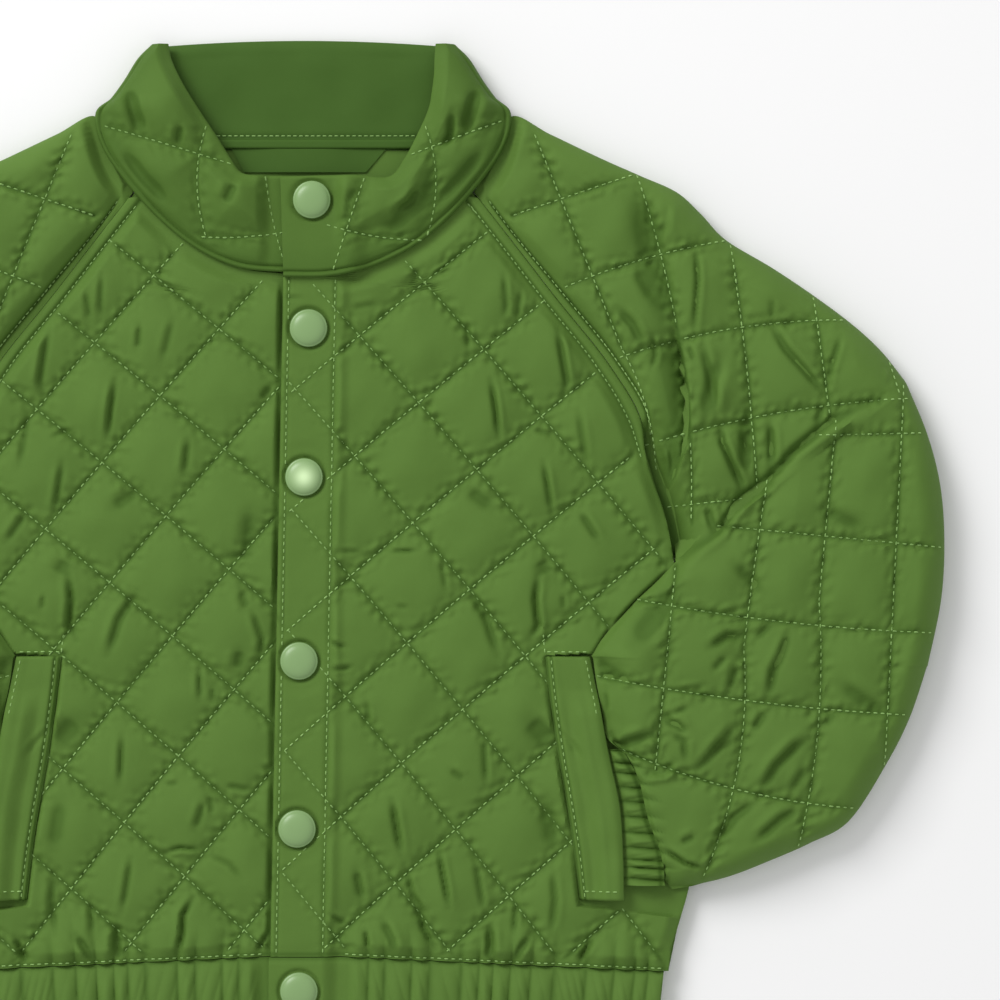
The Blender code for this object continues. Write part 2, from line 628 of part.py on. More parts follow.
def pocket_welt(left, collection):
    sign = 1 if left else -1
    across = np.array([0.0, 0.08, 0.35, 0.7, 0.94, 1.0])
    raised = smooth((across - 0.3) / 0.35)
    sections = []
    for y in np.linspace(WELT[0].y, WELT[-1].y, 15):
        seam = float(curve(column(WELT, "seam_x"), y))
        xs = seam + (float(curve(column(WELT, "free_x"), y)) - seam) * across
        over_cuff = smooth((WELT[1].y + 4 - y) / 12)
        floor = OVER_BODY + WELT_LIFT * over_cuff * raised
        top = floor + WELT_THICK + np.array([-0.8, 0.0, 0.6, 0.6, 0.2, -0.6])
        inner = [0, 2, 3, 5]
        sections.append((run(xs, y, top, sign), run(xs[inner], y, floor[inner], sign)))
    name = "pocket_welt_left" if left else "pocket_welt_right"
    return loft(name, sections, quilted_cloth(name), collection)


# ---- Collar -----------------------------------------------------------------------------------

def collar_side(left, collection):
    """Half of the outer collar, from the front overlap round to the fold on the floor."""
    sign = 1 if left else -1
    name = "collar_left" if left else "collar_right"
    rows = COLLAR
    if not left:
        rows = [row._replace(inner_x=x, inner_y=y)
                for row, (x, y) in zip(COLLAR, RIGHT_COLLAR_INNER)]
        rows[:2] = [row._replace(outer_y=104.6) for row in rows[:2]]
    lines = COLLAR_SEAMS["left" if left else "right"]
    sections = []
    for place, row in enumerate(between(rows, COLLAR_STEPS)):
        past = place / COLLAR_STEPS - (COLLAR_ON_BODY_ROWS - 1)
        width = np.hypot(row.inner_x - row.outer_x, row.inner_y - row.outer_y)
        t = np.array([0, 0.05, 0.14, 0.24, 0.35, 0.46, 0.57, 0.68, 0.78, 0.88, 0.95, 1.0])
        x = row.outer_x + (row.inner_x - row.outer_x) * t
        y = row.outer_y + (row.inner_y - row.outer_y) * t
        lap = 1 - smooth((x - 18) / 9)
        lift = OVERLAP_LIFT * lap if left else np.zeros_like(x)
        floor = COLLAR_FLOOR + lift
        down = seam_pillow(lines, lines, x, y, 14.0)
        loose = smooth((x - (12 if left else 13)) / 6)
        rise = (0.6 + PUFF * down * smooth(np.minimum(t, 1 - t) * width / 6)) * loose
        top = floor + SEAM_THICK + rise + row.crown * np.sin(np.pi * t)
        edge = np.minimum(0.9 * rounded(t * width / 4), 1.4 * rounded((1 - t) * width / 5))
        top += edge - 1.2 if left else np.minimum(edge - 1.2, -0.3)
        under_t = np.array([0.0, 0.16, 0.5, 0.8, 1.0]) if past > 0 else np.array([0.0, 0.4, 1.0])
        under_x = row.outer_x + (row.inner_x - row.outer_x) * under_t
        under_y = row.outer_y + (row.inner_y - row.outer_y) * under_t
        under_lap = 1 - smooth((under_x - 18) / 9)
        under = COLLAR_FLOOR + (OVERLAP_LIFT * under_lap if left else 0 * under_x)
        if past > 0:
            on_floor = smooth(past) * smooth((under_x - BACK_COLLAR_HALF_WIDTH - 1.5) / 6)
            rim = np.array([2.6, 0, 0, 0, 0]) * smooth(past)
            under = np.maximum(under * (1 - on_floor), rim)
            top[0] = top[0] * (1 - smooth(past)) + 4.6 * smooth(past)
            top[1] = top[1] * (1 - smooth(past)) + 8.2 * smooth(past)
        sections.append((run(x, y, top, sign), run(under_x, under_y, under, sign)))
    return loft(name, sections, quilted_cloth(name), collection)


def collar_inner(collection):
    """Back of the collar, its plain inner side up, with the outer side on the floor."""
    sections = []
    for x in np.linspace(-BACK_COLLAR_HALF_WIDTH, BACK_COLLAR_HALF_WIDTH, 19):
        bend = 2.2 * (x / BACK_COLLAR_HALF_WIDTH) ** 2
        t = np.array([0.0, 0.06, 0.3, 0.6, 0.85, 0.95, 1.0])
        y0, y1 = BACK_NECK_Y + GAP, COLLAR_TOP_Y - bend
        swell = np.array([-0.8, -0.3, -0.1, -0.05, -0.2, -0.8, -2.0])
        ys = y0 + (y1 - y0) * t
        sections.append((run(x, ys, BACK_COLLAR_THICK + swell), run(x, [y0, y1], 0.0)))
    loft("collar_inner", sections, plain_lining("collar_inner"), collection)


def neck_tape(collection):
    """Narrow strip over the back neck seam."""
    sections = []
    for x in np.linspace(*TAPE_ENDS, 12):
        ys = BACK_NECK_Y + 0.6 + np.array([0.0, 0.6, 3.0, 3.6])
        top = BACK_COLLAR_THICK + np.array([0.5, 1.0, 1.0, 0.5])
        sections.append((run(x, ys, top), run(x, ys[[0, -1]], BACK_COLLAR_THICK)))
    loft("neck_tape", sections, plain_lining("neck_tape"), collection)


def back_facing(collection):
    """The lining that shows between the neck tape and the front of the collar."""
    sections = []
    for t in np.linspace(0, 1, 5):
        y = 144.6 + (BACK_NECK_Y - 0.6 - 144.6) * t
        across = np.linspace(-24 - 5 * t, 25 + 8 * t, 7)
        top = FRONT_FLOOR + 0.9 + 0.5 * np.cos(across / 9)
        ends = across[[0, -1]]
        sections.append((run(across, y, top), run(ends, y, FRONT_FLOOR)))
    loft("back_facing", sections, plain_lining("back_facing"), collection)


# ---- Snaps ------------------------------------------------------------------------------------

def snap(number, place, collection):
    """A domed cap with a rolled rim, turned from its profile."""
    name = f"snap_{number}"
    profile = [(0.0, 1.0), (0.34, 0.96), (0.64, 0.82), (0.86, 0.58), (0.96, 0.34), (1.0, 0.16),
               (0.96, 0.0), (0.0, 0.0)]
    points = [(radius * SNAP_RADIUS * MM, 0, height * SNAP_RISE * MM) for radius, height in profile]
    mesh = bpy.data.meshes.new(name)
    mesh.from_pydata(points, [(k, k + 1) for k in range(len(points) - 1)], [])
    mesh.materials.append(snap_enamel(name))
    piece = bpy.data.objects.new(name, mesh)
    piece.location = (place.x * MM, place.y * MM, (place.seat + GAP) * MM)
    turn = piece.modifiers.new("Turn", "SCREW")
    turn.steps = turn.render_steps = 16
    turn.use_merge_vertices = True
    turn.merge_threshold = 1e-5
    turn.use_smooth_shade = True
    collection.objects.link(piece)


# ---- Jacket -----------------------------------------------------------------------------------

def clear_scene():
    for item in list(bpy.data.objects):
        bpy.data.objects.remove(item, do_unlink=True)


def build_jacket():
    clear_scene()
    jacket = bpy.data.collections.new("quilted_jacket")
    bpy.context.scene.collection.children.link(jacket)
    back_panel(jacket)
    hem_band_back(jacket)
    for left in (True, False):
        front_panel(left, jacket)
        hem_band(left, jacket)
        sleeve(left, jacket)
        cuff(left, jacket)
        pocket_welt(left, jacket)
        collar_side(left, jacket)
    collar_inner(jacket)
    neck_tape(jacket)
    back_facing(jacket)
    for number, place in enumerate(SNAPS, start=1):
        snap(number, place, jacket)


build_jacket()
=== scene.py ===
from collections import namedtuple
from math import pi, radians

import bpy
import numpy as np
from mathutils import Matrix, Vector
from mathutils.bvhtree import BVHTree


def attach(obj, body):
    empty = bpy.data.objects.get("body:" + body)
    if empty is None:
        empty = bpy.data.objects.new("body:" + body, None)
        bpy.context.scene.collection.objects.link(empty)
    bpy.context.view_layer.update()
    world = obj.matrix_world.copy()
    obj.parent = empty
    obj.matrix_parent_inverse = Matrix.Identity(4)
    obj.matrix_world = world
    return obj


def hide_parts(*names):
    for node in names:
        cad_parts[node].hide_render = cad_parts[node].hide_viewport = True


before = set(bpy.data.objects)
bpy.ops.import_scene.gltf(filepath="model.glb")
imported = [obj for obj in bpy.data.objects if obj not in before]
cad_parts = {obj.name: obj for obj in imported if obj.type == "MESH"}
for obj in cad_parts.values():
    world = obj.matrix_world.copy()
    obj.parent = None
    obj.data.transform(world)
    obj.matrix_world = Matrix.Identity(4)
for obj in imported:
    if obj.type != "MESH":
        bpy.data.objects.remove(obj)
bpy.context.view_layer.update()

# A toddler's diamond-quilted jacket, laid flat with its front up.
# Sizes and tables are in millimetres and become metres when a mesh is made.

mm = 0.001
rng = np.random.default_rng(7)
signs = {"left": 1, "right": -1}     # of x on the wearer's two sides

# Heights of the layers, from the surface up
layers = {
    "gap": 0.3,            # between two pieces that touch
    "back": 4.0,           # thickness of the back panel
    "seam": 2.4,           # cloth where it is sewn down
    "puff": 3.8,           # rise of the padding between seams
    "frontFloor": 4.3,
    "overlap": 2.8,        # climb of the left front over the right
    "seamTop": 6.7,
    "collarFloor": 7.1,
    "overBody": 7.5,       # where the forearms, cuffs and welts lie
    "backCollar": 5.0,
}

body = {
    "hemSeamY": -169.6, "hemDroop": 0.045, "hemY": -197.5, "hemTabX": 15.0,
    "neckY": 103.5, "backNeckY": 153.5, "collarTopY": 197.5, "raglanTopY": 136.4,
    "placketWidth": 21.0, "placketMidX": -10.6, "placketLean": 0.019, "placketMidY": -33.0,
    "underlap": 20.0,
}

# Diamonds: first column, lean of the columns and first row of each front
quilt = {
    "halfWidth": 23.9, "taper": 0.0098, "height": 48.4, "droop": 0.11, "midY": -39.0,
    "left": (-6.0, 0.029, 57.3), "right": (4.8, 0.032, 61.3),
}

Seam = namedtuple("Seam", "x0 y0 x1 y1 bow")

# Half width of the body over its height, the neck seam both ways round, and the edge of
# the forearm and the welt that lie on a front
bodyEdgeTable = [
    (-178, 146.2), (-167.6, 147.2), (-155.6, 150.8), (-141.6, 154.6), (-100, 155.2),
    (-50, 151.8), (-10.4, 148.4), (10.4, 144.0), (19.2, 140.8), (29.2, 137.6),
    (46.8, 134.8), (66.8, 123.0), (94.8, 100.8), (116.0, 84.4), (136.4, 68.4)]
neckHeightTable = [
    (0, 103.5), (8, 104.0), (27.6, 108.0), (45.6, 117.2), (63.6, 133.2), (78.8, 153.2), (82.8, 167.0)]
neckHalfTable = [(103.5, -1.0)] + [(y, x) for x, y in neckHeightTable[1:]]
coveredTable = [
    (-156, 170), (-149, 111.2), (-147, 110.8), (-128, 108.6), (-110, 105.8), (-88, 102), (-66, 98.8),
    (-49.4, 97), (-48.2, 117), (-39.5, 122), (-33, 128), (-26.8, 133.6), (-19.5, 141.5), (-11.4, 149.2),
    (-6, 165)]

# Quilting seams of the sleeve, down its plan and across it
upperDown = [
    Seam(92.4, 160, 127.6, 73.6, 0), Seam(127.6, 73.6, 141.5, 26, 3),
    Seam(133.2, 144, 155.4, 4, 6.4), Seam(170.8, 116, 181.6, 18, 1),
    Seam(203.5, 98, 210.5, 46, 0), Seam(231, 80, 238, 56, 0)]
upperAcross = [
    Seam(83.6, 127, 133.2, 143.6, 0), Seam(104, 98, 168.8, 116.8, 2),
    Seam(126, 70, 238, 84, 6), Seam(136.5, 35, 250, 54, 4), Seam(143, 10, 178, 14, 0)]
forearmDown = [
    Seam(149, -13, 140.8, -94, 0), Seam(185.8, 22, 176, -46, -0.5), Seam(176, -46, 159.6, -138, 6),
    Seam(213, 46, 206, -27, 0), Seam(206, -27, 197.2, -128, 4), Seam(240, 60, 232, -98, 0)]
forearmAcross = [
    Seam(205, 39, 250, 40, 0), Seam(165, 3, 258, -6, 0), Seam(133, -26.5, 258, -40, -2.5),
    Seam(117, -57, 250, -73, -2.5), Seam(122, -84, 224, -110, -5)]
collarSeams = {
    "left": [Seam(24.8, 142.4, 12, 105, 0), Seam(9, 123.4, 47, 117.2, -1.5),
             Seam(48.8, 163.2, 49.6, 119, 4), Seam(34.8, 148, 80, 165, 0)],
    "right": [Seam(38.4, 163.2, 38.8, 118.6, 3.5), Seam(80, 163, 29.2, 147.6, 0),
              Seam(15.2, 143.2, 6.4, 105, 1), Seam(7.2, 120.4, 40, 118.4, -1)]}

# A section of a sleeve: ends of its plan, rise at the inner end, height of its two halves
upperSleeve = [
    (69.0, 136.9, 70.6, 140.5, 2.0, 4.0, 4.0), (76.4, 127.0, 77.6, 151.0, 2.0, 8.5, 8.5),
    (84.8, 116.2, 83.4, 167.0, 2.0, 11.0, 11.0), (93.0, 105.6, 99.0, 159.8, 2.0, 12.5, 12.5),
    (101.2, 95.0, 119.6, 150.0, 2.0, 14.0, 14.0), (109.9, 84.4, 135.0, 143.2, 2.0, 14.5, 14.5),
    (118.0, 74.4, 149.6, 136.6, 2.0, 15.0, 15.0), (123.6, 66.8, 159.2, 128.0, 2.0, 15.0, 15.0),
    (129.8, 57.5, 169.4, 117.4, 2.0, 15.0, 15.0), (135.4, 46.8, 188.0, 106.2, 1.5, 15.0, 15.5),
    (138.1, 29.6, 205.0, 94.8, 1.0, 15.0, 16.0), (141.3, 19.4, 220.0, 83.6, 1.0, 14.5, 17.0),
    (144.7, 10.0, 231.5, 73.0, 1.0, 14.0, 17.5), (148.8, -9.4, 240.8, 61.4, 2.0, 13.0, 18.0)]
forearm = [
    (149.2, -11.4, 242.0, 59.4, 1.5, 17.5, 18.0), (141.5, -19.5, 250.0, 40.0, 2.0, 19.0, 18.5),
    (133.6, -26.8, 255.2, 20.0, 2.0, 20.0, 18.5), (128.0, -33.0, 257.0, -2.0, 2.0, 20.0, 18.5),
    (122.0, -39.5, 255.8, -26.0, 2.0, 20.5, 18.5), (115.8, -48.0, 250.8, -50.8, 2.0, 20.5, 18.5),
    (116.2, -51.0, 249.6, -54.8, 2.2, 20.5, 18.5), (117.4, -60.0, 243.5, -73.0, 3.0, 20.5, 18.5),
    (120.0, -73.0, 234.8, -90.8, 4.0, 20.0, 18.5), (121.8, -82.0, 219.0, -115.2, 6.0, 19.0, 18.0),
    (129.6, -89.4, 203.0, -124.4, 6.0, 18.5, 17.5), (134.4, -99.4, 188.0, -131.0, 6.0, 18.0, 17.0),
    (137.8, -113.8, 171.6, -137.4, 6.0, 17.0, 16.5), (143.0, -128.2, 157.2, -141.0, 5.0, 15.0, 15.0),
    (144.0, -138.0, 147.6, -142.6, 3.0, 11.5, 11.5)]
# A section of half the collar: its outer and inner ends and its crown; the right half's
# inner ends lie further in
collarRows = [
    (-7.8, 102.4, -9.0, 142.6, 0.0), (10.5, 102.7, 9.0, 143.0, 0.0), (28.2, 106.9, 22.5, 143.0, 0.6),
    (46.6, 116.4, 34.5, 142.6, 1.2), (64.6, 132.8, 40.5, 149.6, 2.0), (79.6, 152.8, 46.5, 161.0, 2.6),
    (83.2, 167.6, 50.3, 170.0, 3.2), (77.0, 174.6, 51.5, 176.4, 3.2), (72.0, 181.5, 52.3, 183.0, 2.6),
    (66.6, 190.0, 52.6, 190.2, 1.8), (61.0, 195.6, 53.0, 195.8, 0.6)]
rightCollarInner = [
    (-9.0, 142.6), (9.0, 143.0), (16.0, 143.0), (24.4, 144.0), (29.0, 150.0), (34.0, 158.0),
    (41.0, 168.5), (46.8, 177.6), (50.5, 184.5), (53.0, 190.4), (54.0, 195.8)]
# Height, seam side and free side of a welt; height and seam side of a cuff
weltRows = [
    (-49.4, 97.0, 114.8), (-66.0, 98.8, 118.2), (-88.0, 102.0, 122.2),
    (-110.0, 105.8, 126.8), (-128.0, 108.6, 128.0), (-147.0, 110.8, 128.4)]
cuffRows = [(-86.5, 126.6), (-99.4, 133.6), (-113.8, 137.0), (-128.2, 142.2), (-141.5, 143.4)]
snapPlaces = [
    (3.6, 133.2, 12.2), (2.2, 82.0, 9.5), (0.4, 22.4, 9.5),
    (-1.6, -51.2, 9.5), (-2.4, -118.4, 9.5), (-1.6, -183.2, 10.4)]

# Creases of each piece: depth, width, then the places along it. A
# negative depth is a ridge.
leftFrontCreases = [
    (0.7, 1.2, (80.3, 103.2), (81.2, 90.8), (80.3, 85.7)), (0.7, 1.2, (87, 97), (85.4, 84.8)),
    (0.8, 1.1, (65.5, 83.2), (66, 73.4)), (1.3, 1.2, (75.2, 61.2), (77.2, 48), (78.3, 37.6)),
    (1.0, 1.2, (96.2, 28.4), (98.7, 13.2), (99.6, 7)), (0.9, 2.5, (66, 17.2), (76.2, 10)),
    (0.7, 1.4, (41.5, 96.9), (46.6, 106.1)), (0.5, 1.2, (19, 89.8), (30.2, 91.8)),
    (0.6, 1.0, (91.6, 41.7), (100.8, 38.8)), (1.3, 1.3, (101.9, 81.4), (105.4, 60.8), (104.2, 55)),
    (0.7, 1.4, (110, 49.2), (113.4, 26.4)), (0.7, 0.9, (34, -7.2), (46, -7.2)),
    (0.5, 0.9, (14.8, -7.2), (22.8, -7.6)), (0.6, 1.0, (55.2, -11.6), (57.2, -22.8)),
    (0.4, 1.0, (37.2, -29.2), (42, -30)), (1.0, 1.0, (10.8, -43.6), (16.8, -46)),
    (0.8, 1.0, (10.8, -54.8), (20, -53.6)),
    (1.2, 1.6, (66.8, -23.6), (73.6, -34.8), (76, -42.8), (78, -48.8)),
    (1.5, 1.3, (94, -16.8), (92.8, -26.8), (94, -36.8), (90.8, -42.8)),
    (0.6, 1.0, (104, -24.8), (104.4, -30.8)), (0.9, 3.0, (94.8, -10.8), (98, -16.8)),
    (0.9, 1.4, (110.8, 8.4), (116.8, -0.8), (118.8, -3.6)), (0.6, 1.1, (25.2, -66.8), (26.4, -76.8)),
    (1.2, 4.0, (90.8, -74.8), (99, -84)), (0.7, 1.4, (58.8, -94.8), (64.8, -98.8)),
    (0.9, 1.2, (72.4, -80.8), (73.2, -100.8)),
    (1.3, 1.4, (35.6, -106.8), (37.6, -118.8), (39.2, -128.8)),
    (1.1, 1.6, (21.2, -134.8), (23.6, -146.8)), (1.3, 1.2, (54, -126.8), (56.4, -138.8), (58.4, -150)),
    (0.9, 1.2, (68.8, -130), (71.2, -144.8), (72.4, -151.6)),
    (1.0, 1.2, (40.8, -132.8), (43.6, -144.8), (50.8, -154.8)),
    (1.0, 1.6, (31.6, -154.8), (35.6, -162.8), (36.8, -168.8)),
    (1.3, 1.2, (45.2, -148.8), (48.4, -158.8), (52.8, -166.8)),
    (2.0, 1.6, (74.8, -156.8), (74.8, -164.8), (73.6, -172.8)),
    (1.6, 1.5, (90.8, -160.8), (86.8, -166.8), (83.6, -174.8)),
    (0.8, 1.2, (85.2, -146.8), (84.4, -160.8)),
    (0.9, 1.4, (99.6, -134.8), (100.8, -146.8), (99.2, -160.8)),
    (1.6, 1.2, (116, -162), (112, -168.8), (110, -176.8)), (0.9, 3.0, (97.2, -106.8), (100, -126.8)),
    (0.9, 1.0, (24.8, -158.8), (26, -166.8)), (0.8, 1.0, (10.8, -152.8), (16.8, -156.8)),
    # beside the second and the third snap
    (0.8, 1.1, (-7, 94.4), (0.2, 93.2)), (0.8, 1.1, (10.2, 89.2), (16.2, 88.4)),
    (0.8, 1.1, (-9.2, 28), (-3.6, 29.2)), (0.8, 1.1, (4.8, 29.6), (10.8, 27.2))]
rightFrontCreases = [
    (0.6, 1.4, (52, 85.2), (56, 69.2)), (1.0, 1.3, (46, 37.2), (47.6, 23.2)),
    (1.0, 1.6, (16.4, 53.2), (13.2, 59.2)), (0.8, 2.5, (21.2, 9.2), (23.2, -10.8)),
    (0.6, 1.4, (33.2, -10), (21.2, -8.8)), (0.8, 1.6, (25.2, -22.8), (22.4, -30.8)),
    (1.0, 2.0, (25.2, -46.8), (26.4, -54.8)), (1.0, 1.2, (20.4, -30.8), (16.4, -42.8), (18, -50.8)),
    (0.8, 1.0, (41.6, -54.8), (41.2, -66.8)), (0.6, 1.0, (36.4, -62), (36, -66.8)),
    (0.5, 1.0, (50, -100.4), (55.2, -100.4)), (0.7, 1.2, (31.2, -101.2), (21.2, -102.8)),
    (0.9, 1.4, (39.2, -106.8), (43.2, -118.8)), (0.8, 1.2, (37.6, -104.8), (36.4, -112.8)),
    (1.0, 1.0, (55.2, -127.6), (49.2, -126), (41.2, -126.8)),
    (0.6, 1.2, (37.2, -128.8), (29.2, -132.8), (24, -138.8)),
    (1.6, 1.2, (44, -146), (48, -152.8), (48.4, -160.8), (50, -168.8)),
    (1.2, 1.0, (13.2, -158.8), (19.2, -168.8))]
# the half of the right front that the picture leaves out takes the left one's
rightFrontCreases += [c for c in leftFrontCreases if min(x for x, y in c[2:]) > 64]
upperCreases = [
    (1.3, 1.2, (156.8, 115.2), (157.6, 101.2), (156, 79.2)),
    (1.0, 1.6, (159.2, 77.2), (161.2, 67.2), (164, 55.2), (165.6, 45.2)),
    (0.8, 1.0, (154, 75.2), (156, 68.4)),
    (1.3, 1.6, (186.8, 83.2), (192.8, 73.2), (200.8, 64.4), (208.4, 55.2)),
    (1.0, 1.2, (214.8, 79.2), (211.6, 69.2), (208.8, 59.2)), (0.6, 1.2, (187.6, 93.2), (186.8, 85.2)),
    (1.0, 1.4, (207.6, 51.2), (204.8, 43.2)), (1.6, 5.0, (134, 135), (146, 84)),
    (1.2, 2.5, (133.2, 105.2), (140.8, 93.2)), (1.2, 1.8, (126, 89.2), (131.6, 83.2), (135.6, 75.2)),
    (0.6, 1.6, (146, 133.2), (143.6, 117.2)), (1.4, 1.4, (140.6, 38), (143.4, 27), (143.6, 14)),
    (1.2, 1.6, (147, 41), (148, 29), (145, 15)), (0.9, 1.1, (139.4, 79), (141, 71), (139, 65)),
    (1.8, 1.4, (167, 43), (167.6, 36), (171.6, 26.8), (176.4, 16.4)),
    (1.2, 1.2, (175.2, 39.4), (177.4, 33.2)), (1.6, 1.5, (186.6, 44), (187.2, 31.4), (186.6, 26.8)),
    (1.4, 1.6, (161.2, 10.8), (164.2, 0.8)), (1.6, 2.6, (166, 70), (160, 46)),
    (1.8, 2.6, (178, 52), (176, 22))]
forearmCreases = [
    (1.6, 4.0, (150, -22), (132, -44)), (1.6, 1.6, (162.4, -45.6), (169.2, -41), (176.3, -41)),
    (1.2, 1.4, (180.8, -42), (187.6, -35.2)), (1.2, 1.4, (190.6, -48), (193.5, -41)),
    (1.5, 1.6, (143.6, -74), (149.5, -76.4), (153.5, -80)),
    (2.5, 2.0, (122.4, -80.6), (125.2, -85.6), (139.2, -81.2)),
    (1.2, 1.6, (161.2, -88.7), (172.9, -76.9)), (1.2, 3.0, (116, -50.5), (122.4, -55.4), (128, -58.4)),
    (0.9, 1.0, (120.8, -62.8), (121.2, -68.8), (119.2, -74)),
    (-1.2, 1.6, (126, -86), (134.8, -83.6), (143.6, -83.2)),
    (0.9, 1.2, (142.8, -73.2), (148.8, -71.6), (154.8, -68.8)),
    (1.0, 1.4, (147, -79.8), (152, -83), (153, -91)),
    (1.2, 1.6, (156.8, -94.8), (166.8, -84.8), (172.8, -82.8)),
    (1.8, 1.8, (182.8, -102.8), (188.8, -92.8), (196.8, -84.8), (202, -82)),
    (1.2, 1.6, (179.6, -78.8), (184.8, -70.8)), (1.0, 1.6, (194.8, -102.8), (200.8, -92.8)),
    (0.9, 1.6, (207.6, -76.8), (212.8, -70.8)),
    (1.6, 1.6, (186, -64.8), (187.6, -54.8), (192.8, -44.8)), (1.2, 1.4, (170, -62.8), (172.8, -52.8)),
    (0.9, 1.4, (168.8, -48.8), (163.6, -54.8)),
    (1.4, 1.8, (164.8, -122.8), (172.8, -112.8), (180.8, -106.8)),
    (1.4, 1.8, (180.8, -122.8), (190.8, -114), (198, -110)),
    (1.4, 1.0, (144, -126), (152.8, -131.6), (160.8, -134)),
    (0.9, 1.4, (150.8, -123.6), (156.8, -120.8)),
    (-1.2, 1.4, (136.8, -98.8), (144.8, -98), (150.8, -92.8)), (0.9, 2.4, (206, 10), (224, 2)),
    (0.9, 2.2, (172, -12), (184, -24)), (1.0, 2.6, (214, -60), (232, -72))]
collarCreases = {
    "left": [
        (1.6, 1.4, (37.4, 128.2), (43.2, 132.3), (46.5, 138)),
        (1.4, 3.0, (30, 123.2), (36.6, 123.2), (49.8, 134.8), (51.4, 146.4)),
        (1.6, 1.6, (59.7, 167.8), (58.8, 158), (55.6, 153.7)),
        (2.2, 2.6, (69.6, 177.6), (67.1, 167.8), (63.8, 159.6)),
        (1.6, 2.5, (72.9, 153.7), (63, 141.4), (53.1, 131.4)), (0.9, 1.4, (20, 126.5), (10.2, 123.2)),
        (1.0, 1.4, (21.6, 138.9), (18.4, 132.4), (16.8, 126.5))],
    "right": [
        (1.2, 1.6, (48.4, 162.8), (50, 154.6)), (1.2, 2.0, (26.9, 139.7), (31, 131.4)),
        (1.6, 2.5, (72.9, 153.7), (63, 141.4), (53.1, 131.4)),
        (2.0, 2.6, (69.6, 177.6), (67.1, 167.8), (63.8, 159.6))]}
# The crease inside the elbow, with its ridge on the forearm's side
elbowCrease = (
    2.2, 1.8, (226, 52), (210, 44.4), (196, 32.8), (185.6, 21.2), (174.8, 13.2), (165.6, 0.8), (152, -9.6))
upperCreases.append(elbowCrease)
forearmCreases.append(elbowCrease)
# The step where the upper sleeve folds over itself above the elbow
overlapStep = [
    (147.7, 84), (151.4, 71.4), (153.9, 56.8), (154.4, 46), (153.2, 35), (149, 23), (144.5, 11.4)]


# cubic pieces through a table of (place, value), with slopes from its neighbours
def curve(table, at):
    places, values = np.array(table, float).T
    slopes = np.gradient(values, places)
    i = np.clip(np.searchsorted(places, at) - 1, 0, len(places) - 2)
    width = places[i + 1] - places[i]
    rise = values[i + 1] - values[i]
    t = np.clip((at - places[i]) / width, 0, 1)
    start = slopes[i] * width - rise
    end = rise - slopes[i + 1] * width
    return values[i] + t * rise + t * (1 - t) * (start * (1 - t) + end * t)


# straight pieces through a table
def straight(table, at):
    places, values = np.array(table, float).T
    return np.interp(at, places, values)


# 3t^2 - 2t^3 between 0 and 1
def smooth(t):
    t = np.clip(t, 0, 1)
    return t * t * (3 - 2 * t)


# a quarter of an ellipse from 0 up to 1
def rounded(t):
    return np.sqrt(1 - (1 - np.clip(t, 0, 1)) ** 2)


# exp(-(distance / width)^2)
def bell(distance, width):
    return np.exp(-(distance / width) ** 2)


# distance to a line bowed by 4 b t (1 - t)
def toSeam(line, x, y):
    dx, dy = line.x1 - line.x0, line.y1 - line.y0
    length = np.hypot(dx, dy)
    t = np.clip(((x - line.x0) * dx + (y - line.y0) * dy) / length ** 2, 0, 1)
    bow = line.bow * 4 * t * (1 - t) / length
    return np.hypot(x - line.x0 - t * dx + bow * dy, y - line.y0 - t * dy - bow * dx)


# distance to the nearest of several bowed lines
def nearest(lines, x, y):
    return np.min([toSeam(line, x, y) for line in lines], axis=0)


# (|sin pi p| |sin pi q|)^0.55 between two families of seams at whole p and q
def pillow(p, q):
    return (np.abs(np.sin(pi * p)) * np.abs(np.sin(pi * q))) ** 0.55


# the same with each distance d to given seams taken as p = d / (2 reach)
def seamPillow(down, across, x, y, reach):
    p = np.clip(nearest(down, x, y) / reach, 0, 1) / 2
    q = np.clip(nearest(across, x, y) / reach, 0, 1) / 2
    return pillow(p, q)


# nearest point of a run of straight pieces: its distance, how far the place lies to the
# left of the run, and the share t of the run's length up to it
def alongRun(places, x, y):
    places = np.array(places, float)
    lengths = np.hypot(*np.diff(places, axis=0).T)
    starts = np.concatenate([[0], np.cumsum(lengths)])
    away, aside, t = np.full(x.shape, 1e9), np.zeros(x.shape), np.zeros(x.shape)
    for (x0, y0), (x1, y1), length, start in zip(places[:-1], places[1:], lengths, starts):
        ux, uy = (x1 - x0) / length, (y1 - y0) / length
        s = np.clip((x - x0) * ux + (y - y0) * uy, 0, length)
        dx, dy = x - x0 - s * ux, y - y0 - s * uy
        closer = np.hypot(dx, dy) < away
        away = np.where(closer, np.hypot(dx, dy), away)
        aside = np.where(closer, dy * ux - dx * uy, aside)
        t = np.where(closer, (start + s) / starts[-1], t)
    return away, aside, t


# the sum of -depth bell(d, width), with a low ridge of 0.4 depth beside each trough at
# twice its width; both fade towards the run's two ends
def creaseRelief(creases, x, y):
    x, y = np.broadcast_arrays(x, y)
    relief = np.zeros(x.shape)
    for depth, width, *places in creases:
        low, high = np.min(places, axis=0) - 5 * width, np.max(places, axis=0) + 5 * width
        near = (x > low[0]) & (x < high[0]) & (y > low[1]) & (y < high[1])
        away, aside, t = alongRun(places, x[near], y[near])
        ends = 0.2 + 0.8 * smooth(t / 0.3) * smooth((1 - t) / 0.3)
        past = np.sqrt(np.maximum(away ** 2 - aside ** 2, 0))
        ridge = bell(aside - 2 * width, width) * bell(past, width)
        relief[near] += depth * ends * (0.4 * ridge - bell(away, width))
    return relief


